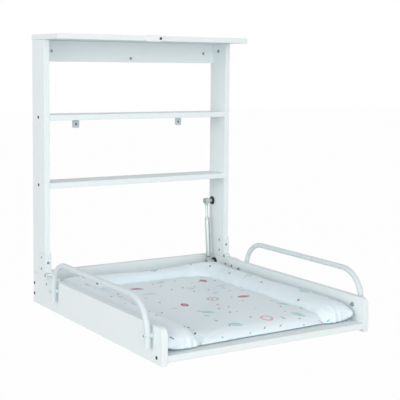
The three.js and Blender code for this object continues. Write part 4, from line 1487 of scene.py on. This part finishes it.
@dataclass
class Studio:
    """The camera at the photograph's angle, soft lamps, a pale world and a pale floor, in metres."""

    azimuth: float = -32.1535
    elevation: float = 5.2363
    roll: float = 0.4879
    place: Point = (-1.44554, -2.71574, -0.04720)
    lens: float = 89.847
    sensor: float = 36.0
    far: float = 60.0
    shift_y: float = -0.1
    floor_z: float = -1.60
    floor_half: float = 30.0
    floor_glow: float = 0.98
    floor_roughness: float = 0.9
    floor_clouds: tuple[float, float] = (0.8, 2.0)
    floor_colours: tuple[Point, Point] = ((0.60, 0.605, 0.61), (0.63, 0.635, 0.64))
    horizon: float = 1.06
    zenith: float = 0.46
    before: float = 1.08
    behind: float = 0.60
    lamps: tuple[Lamp, ...] = (
        Lamp("key", (-0.9, -4.2, 0.2), (0.0, -0.2, -0.35), 2.8, 48.0),
        Lamp("left_fill", (-3.6, -1.4, 0.3), (0.0, -0.3, -0.3), 2.4, 45.0),
    )

    def build(self) -> None:
        """Makes the camera, lamps, world and floor."""
        self.camera()
        for lamp in self.lamps:
            self.hang(lamp)
        self.world()
        self.floor()
        bpy.context.scene.view_settings.view_transform = "Standard"

    @staticmethod
    def pose(first: Array, second: Array, along: Array, place: Point) -> Matrix:
        """A pose from its three axes, of which the last points away from what is faced, and its place."""
        rows = np.column_stack([first, second, along, place]).tolist()
        return Matrix([*rows, [0.0, 0.0, 0.0, 1.0]])

    def camera(self) -> None:
        """Makes the camera: it looks back along its azimuth and elevation, with a slight roll."""
        azimuth, elevation, roll = (math.radians(a) for a in (self.azimuth, self.elevation, self.roll))
        back = np.array([
            math.sin(azimuth) * math.cos(elevation),
            -math.cos(azimuth) * math.cos(elevation),
            math.sin(elevation),
        ])
        right = np.cross(-back, (0.0, 0.0, 1.0))
        right /= np.linalg.norm(right)
        up = np.cross(right, -back)
        turned_right = right * math.cos(roll) + up * math.sin(roll)
        turned_up = up * math.cos(roll) - right * math.sin(roll)
        data = bpy.data.cameras.new("camera")
        data.lens = self.lens
        data.sensor_width = self.sensor
        data.shift_y = self.shift_y
        data.clip_end = self.far
        made = placed("camera", data)
        made.matrix_world = self.pose(turned_right, turned_up, back, self.place)
        bpy.context.scene.camera = made

    def hang(self, lamp: Lamp) -> None:
        """Makes a lamp.

        Args:
            lamp: its place and power.
        """
        data = bpy.data.lights.new(lamp.name, "AREA")
        data.size = lamp.size
        data.energy = lamp.power
        axes = square_frame(np.subtract(lamp.place, lamp.aim))
        placed(lamp.name, data).matrix_world = self.pose(*axes, lamp.place)

    def world(self) -> None:
        """Makes the world: plain white where it is seen or mirrored; as light, softer towards the zenith
        and from behind."""
        world = bpy.data.worlds.new("studio")
        bpy.context.scene.world = world
        world.use_nodes = True
        nodes = Nodes(world.node_tree)
        output, background = nodes.add("OutputWorld"), nodes.add("Background")
        nodes.feed(background.inputs["Color"], (1.0, 1.0, 1.0, 1.0))
        _, y, z = nodes.parts(nodes.add("TexCoord").outputs["Generated"])
        height = nodes.span(z, self.horizon, self.zenith)
        level = nodes.math("MULTIPLY", height, nodes.span(y, self.before, self.behind, -1.0))
        nodes.feed(background.inputs["Strength"], nodes.span(nodes.seen(), level, 1.0))
        nodes.feed(output.inputs["Surface"], background.outputs[0])

    def floor(self) -> None:
        """Makes the pale floor well below the tray, which keeps the soft shadow."""
        half = self.floor_half
        corners = [(-half, -half), (half, -half), (half, half), (-half, half)]
        mesh = bpy.data.meshes.new("floor")
        mesh.from_pydata([(x, y, self.floor_z) for x, y in corners], [], [(0, 1, 2, 3)])
        shade = Shader("floor")
        dark, pale = ((*colour, 1.0) for colour in self.floor_colours)
        shade.set("Base Color", shade.mix(shade.noise(*self.floor_clouds), dark, pale))
        shade.set("Roughness", self.floor_roughness)
        blend = shade.add("MixShader")
        shade.feed(blend.inputs["Fac"], shade.math("MULTIPLY", shade.seen(), self.floor_glow))
        shade.feed(blend.inputs[1], shade.principled.outputs["BSDF"])
        shade.feed(blend.inputs[2], shade.add("Emission").outputs[0])
        shade.feed(shade.output.inputs["Surface"], blend.outputs[0])
        mesh.materials.append(shade.material)
        placed("floor", mesh)


def main() -> None:
    """Builds every sub-assembly in order."""
    logging.basicConfig(level=logging.INFO, format="%(name)s: %(message)s")
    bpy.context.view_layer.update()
    finishes = Finishes()
    Studio().build()
    for assembly in (Boards, BoardScrews, Hinges, GuardRails, GasStrut, TurnButton):
        assembly(finishes).build()
    ChangingMat().build()


if __name__ == "__main__":
    main()
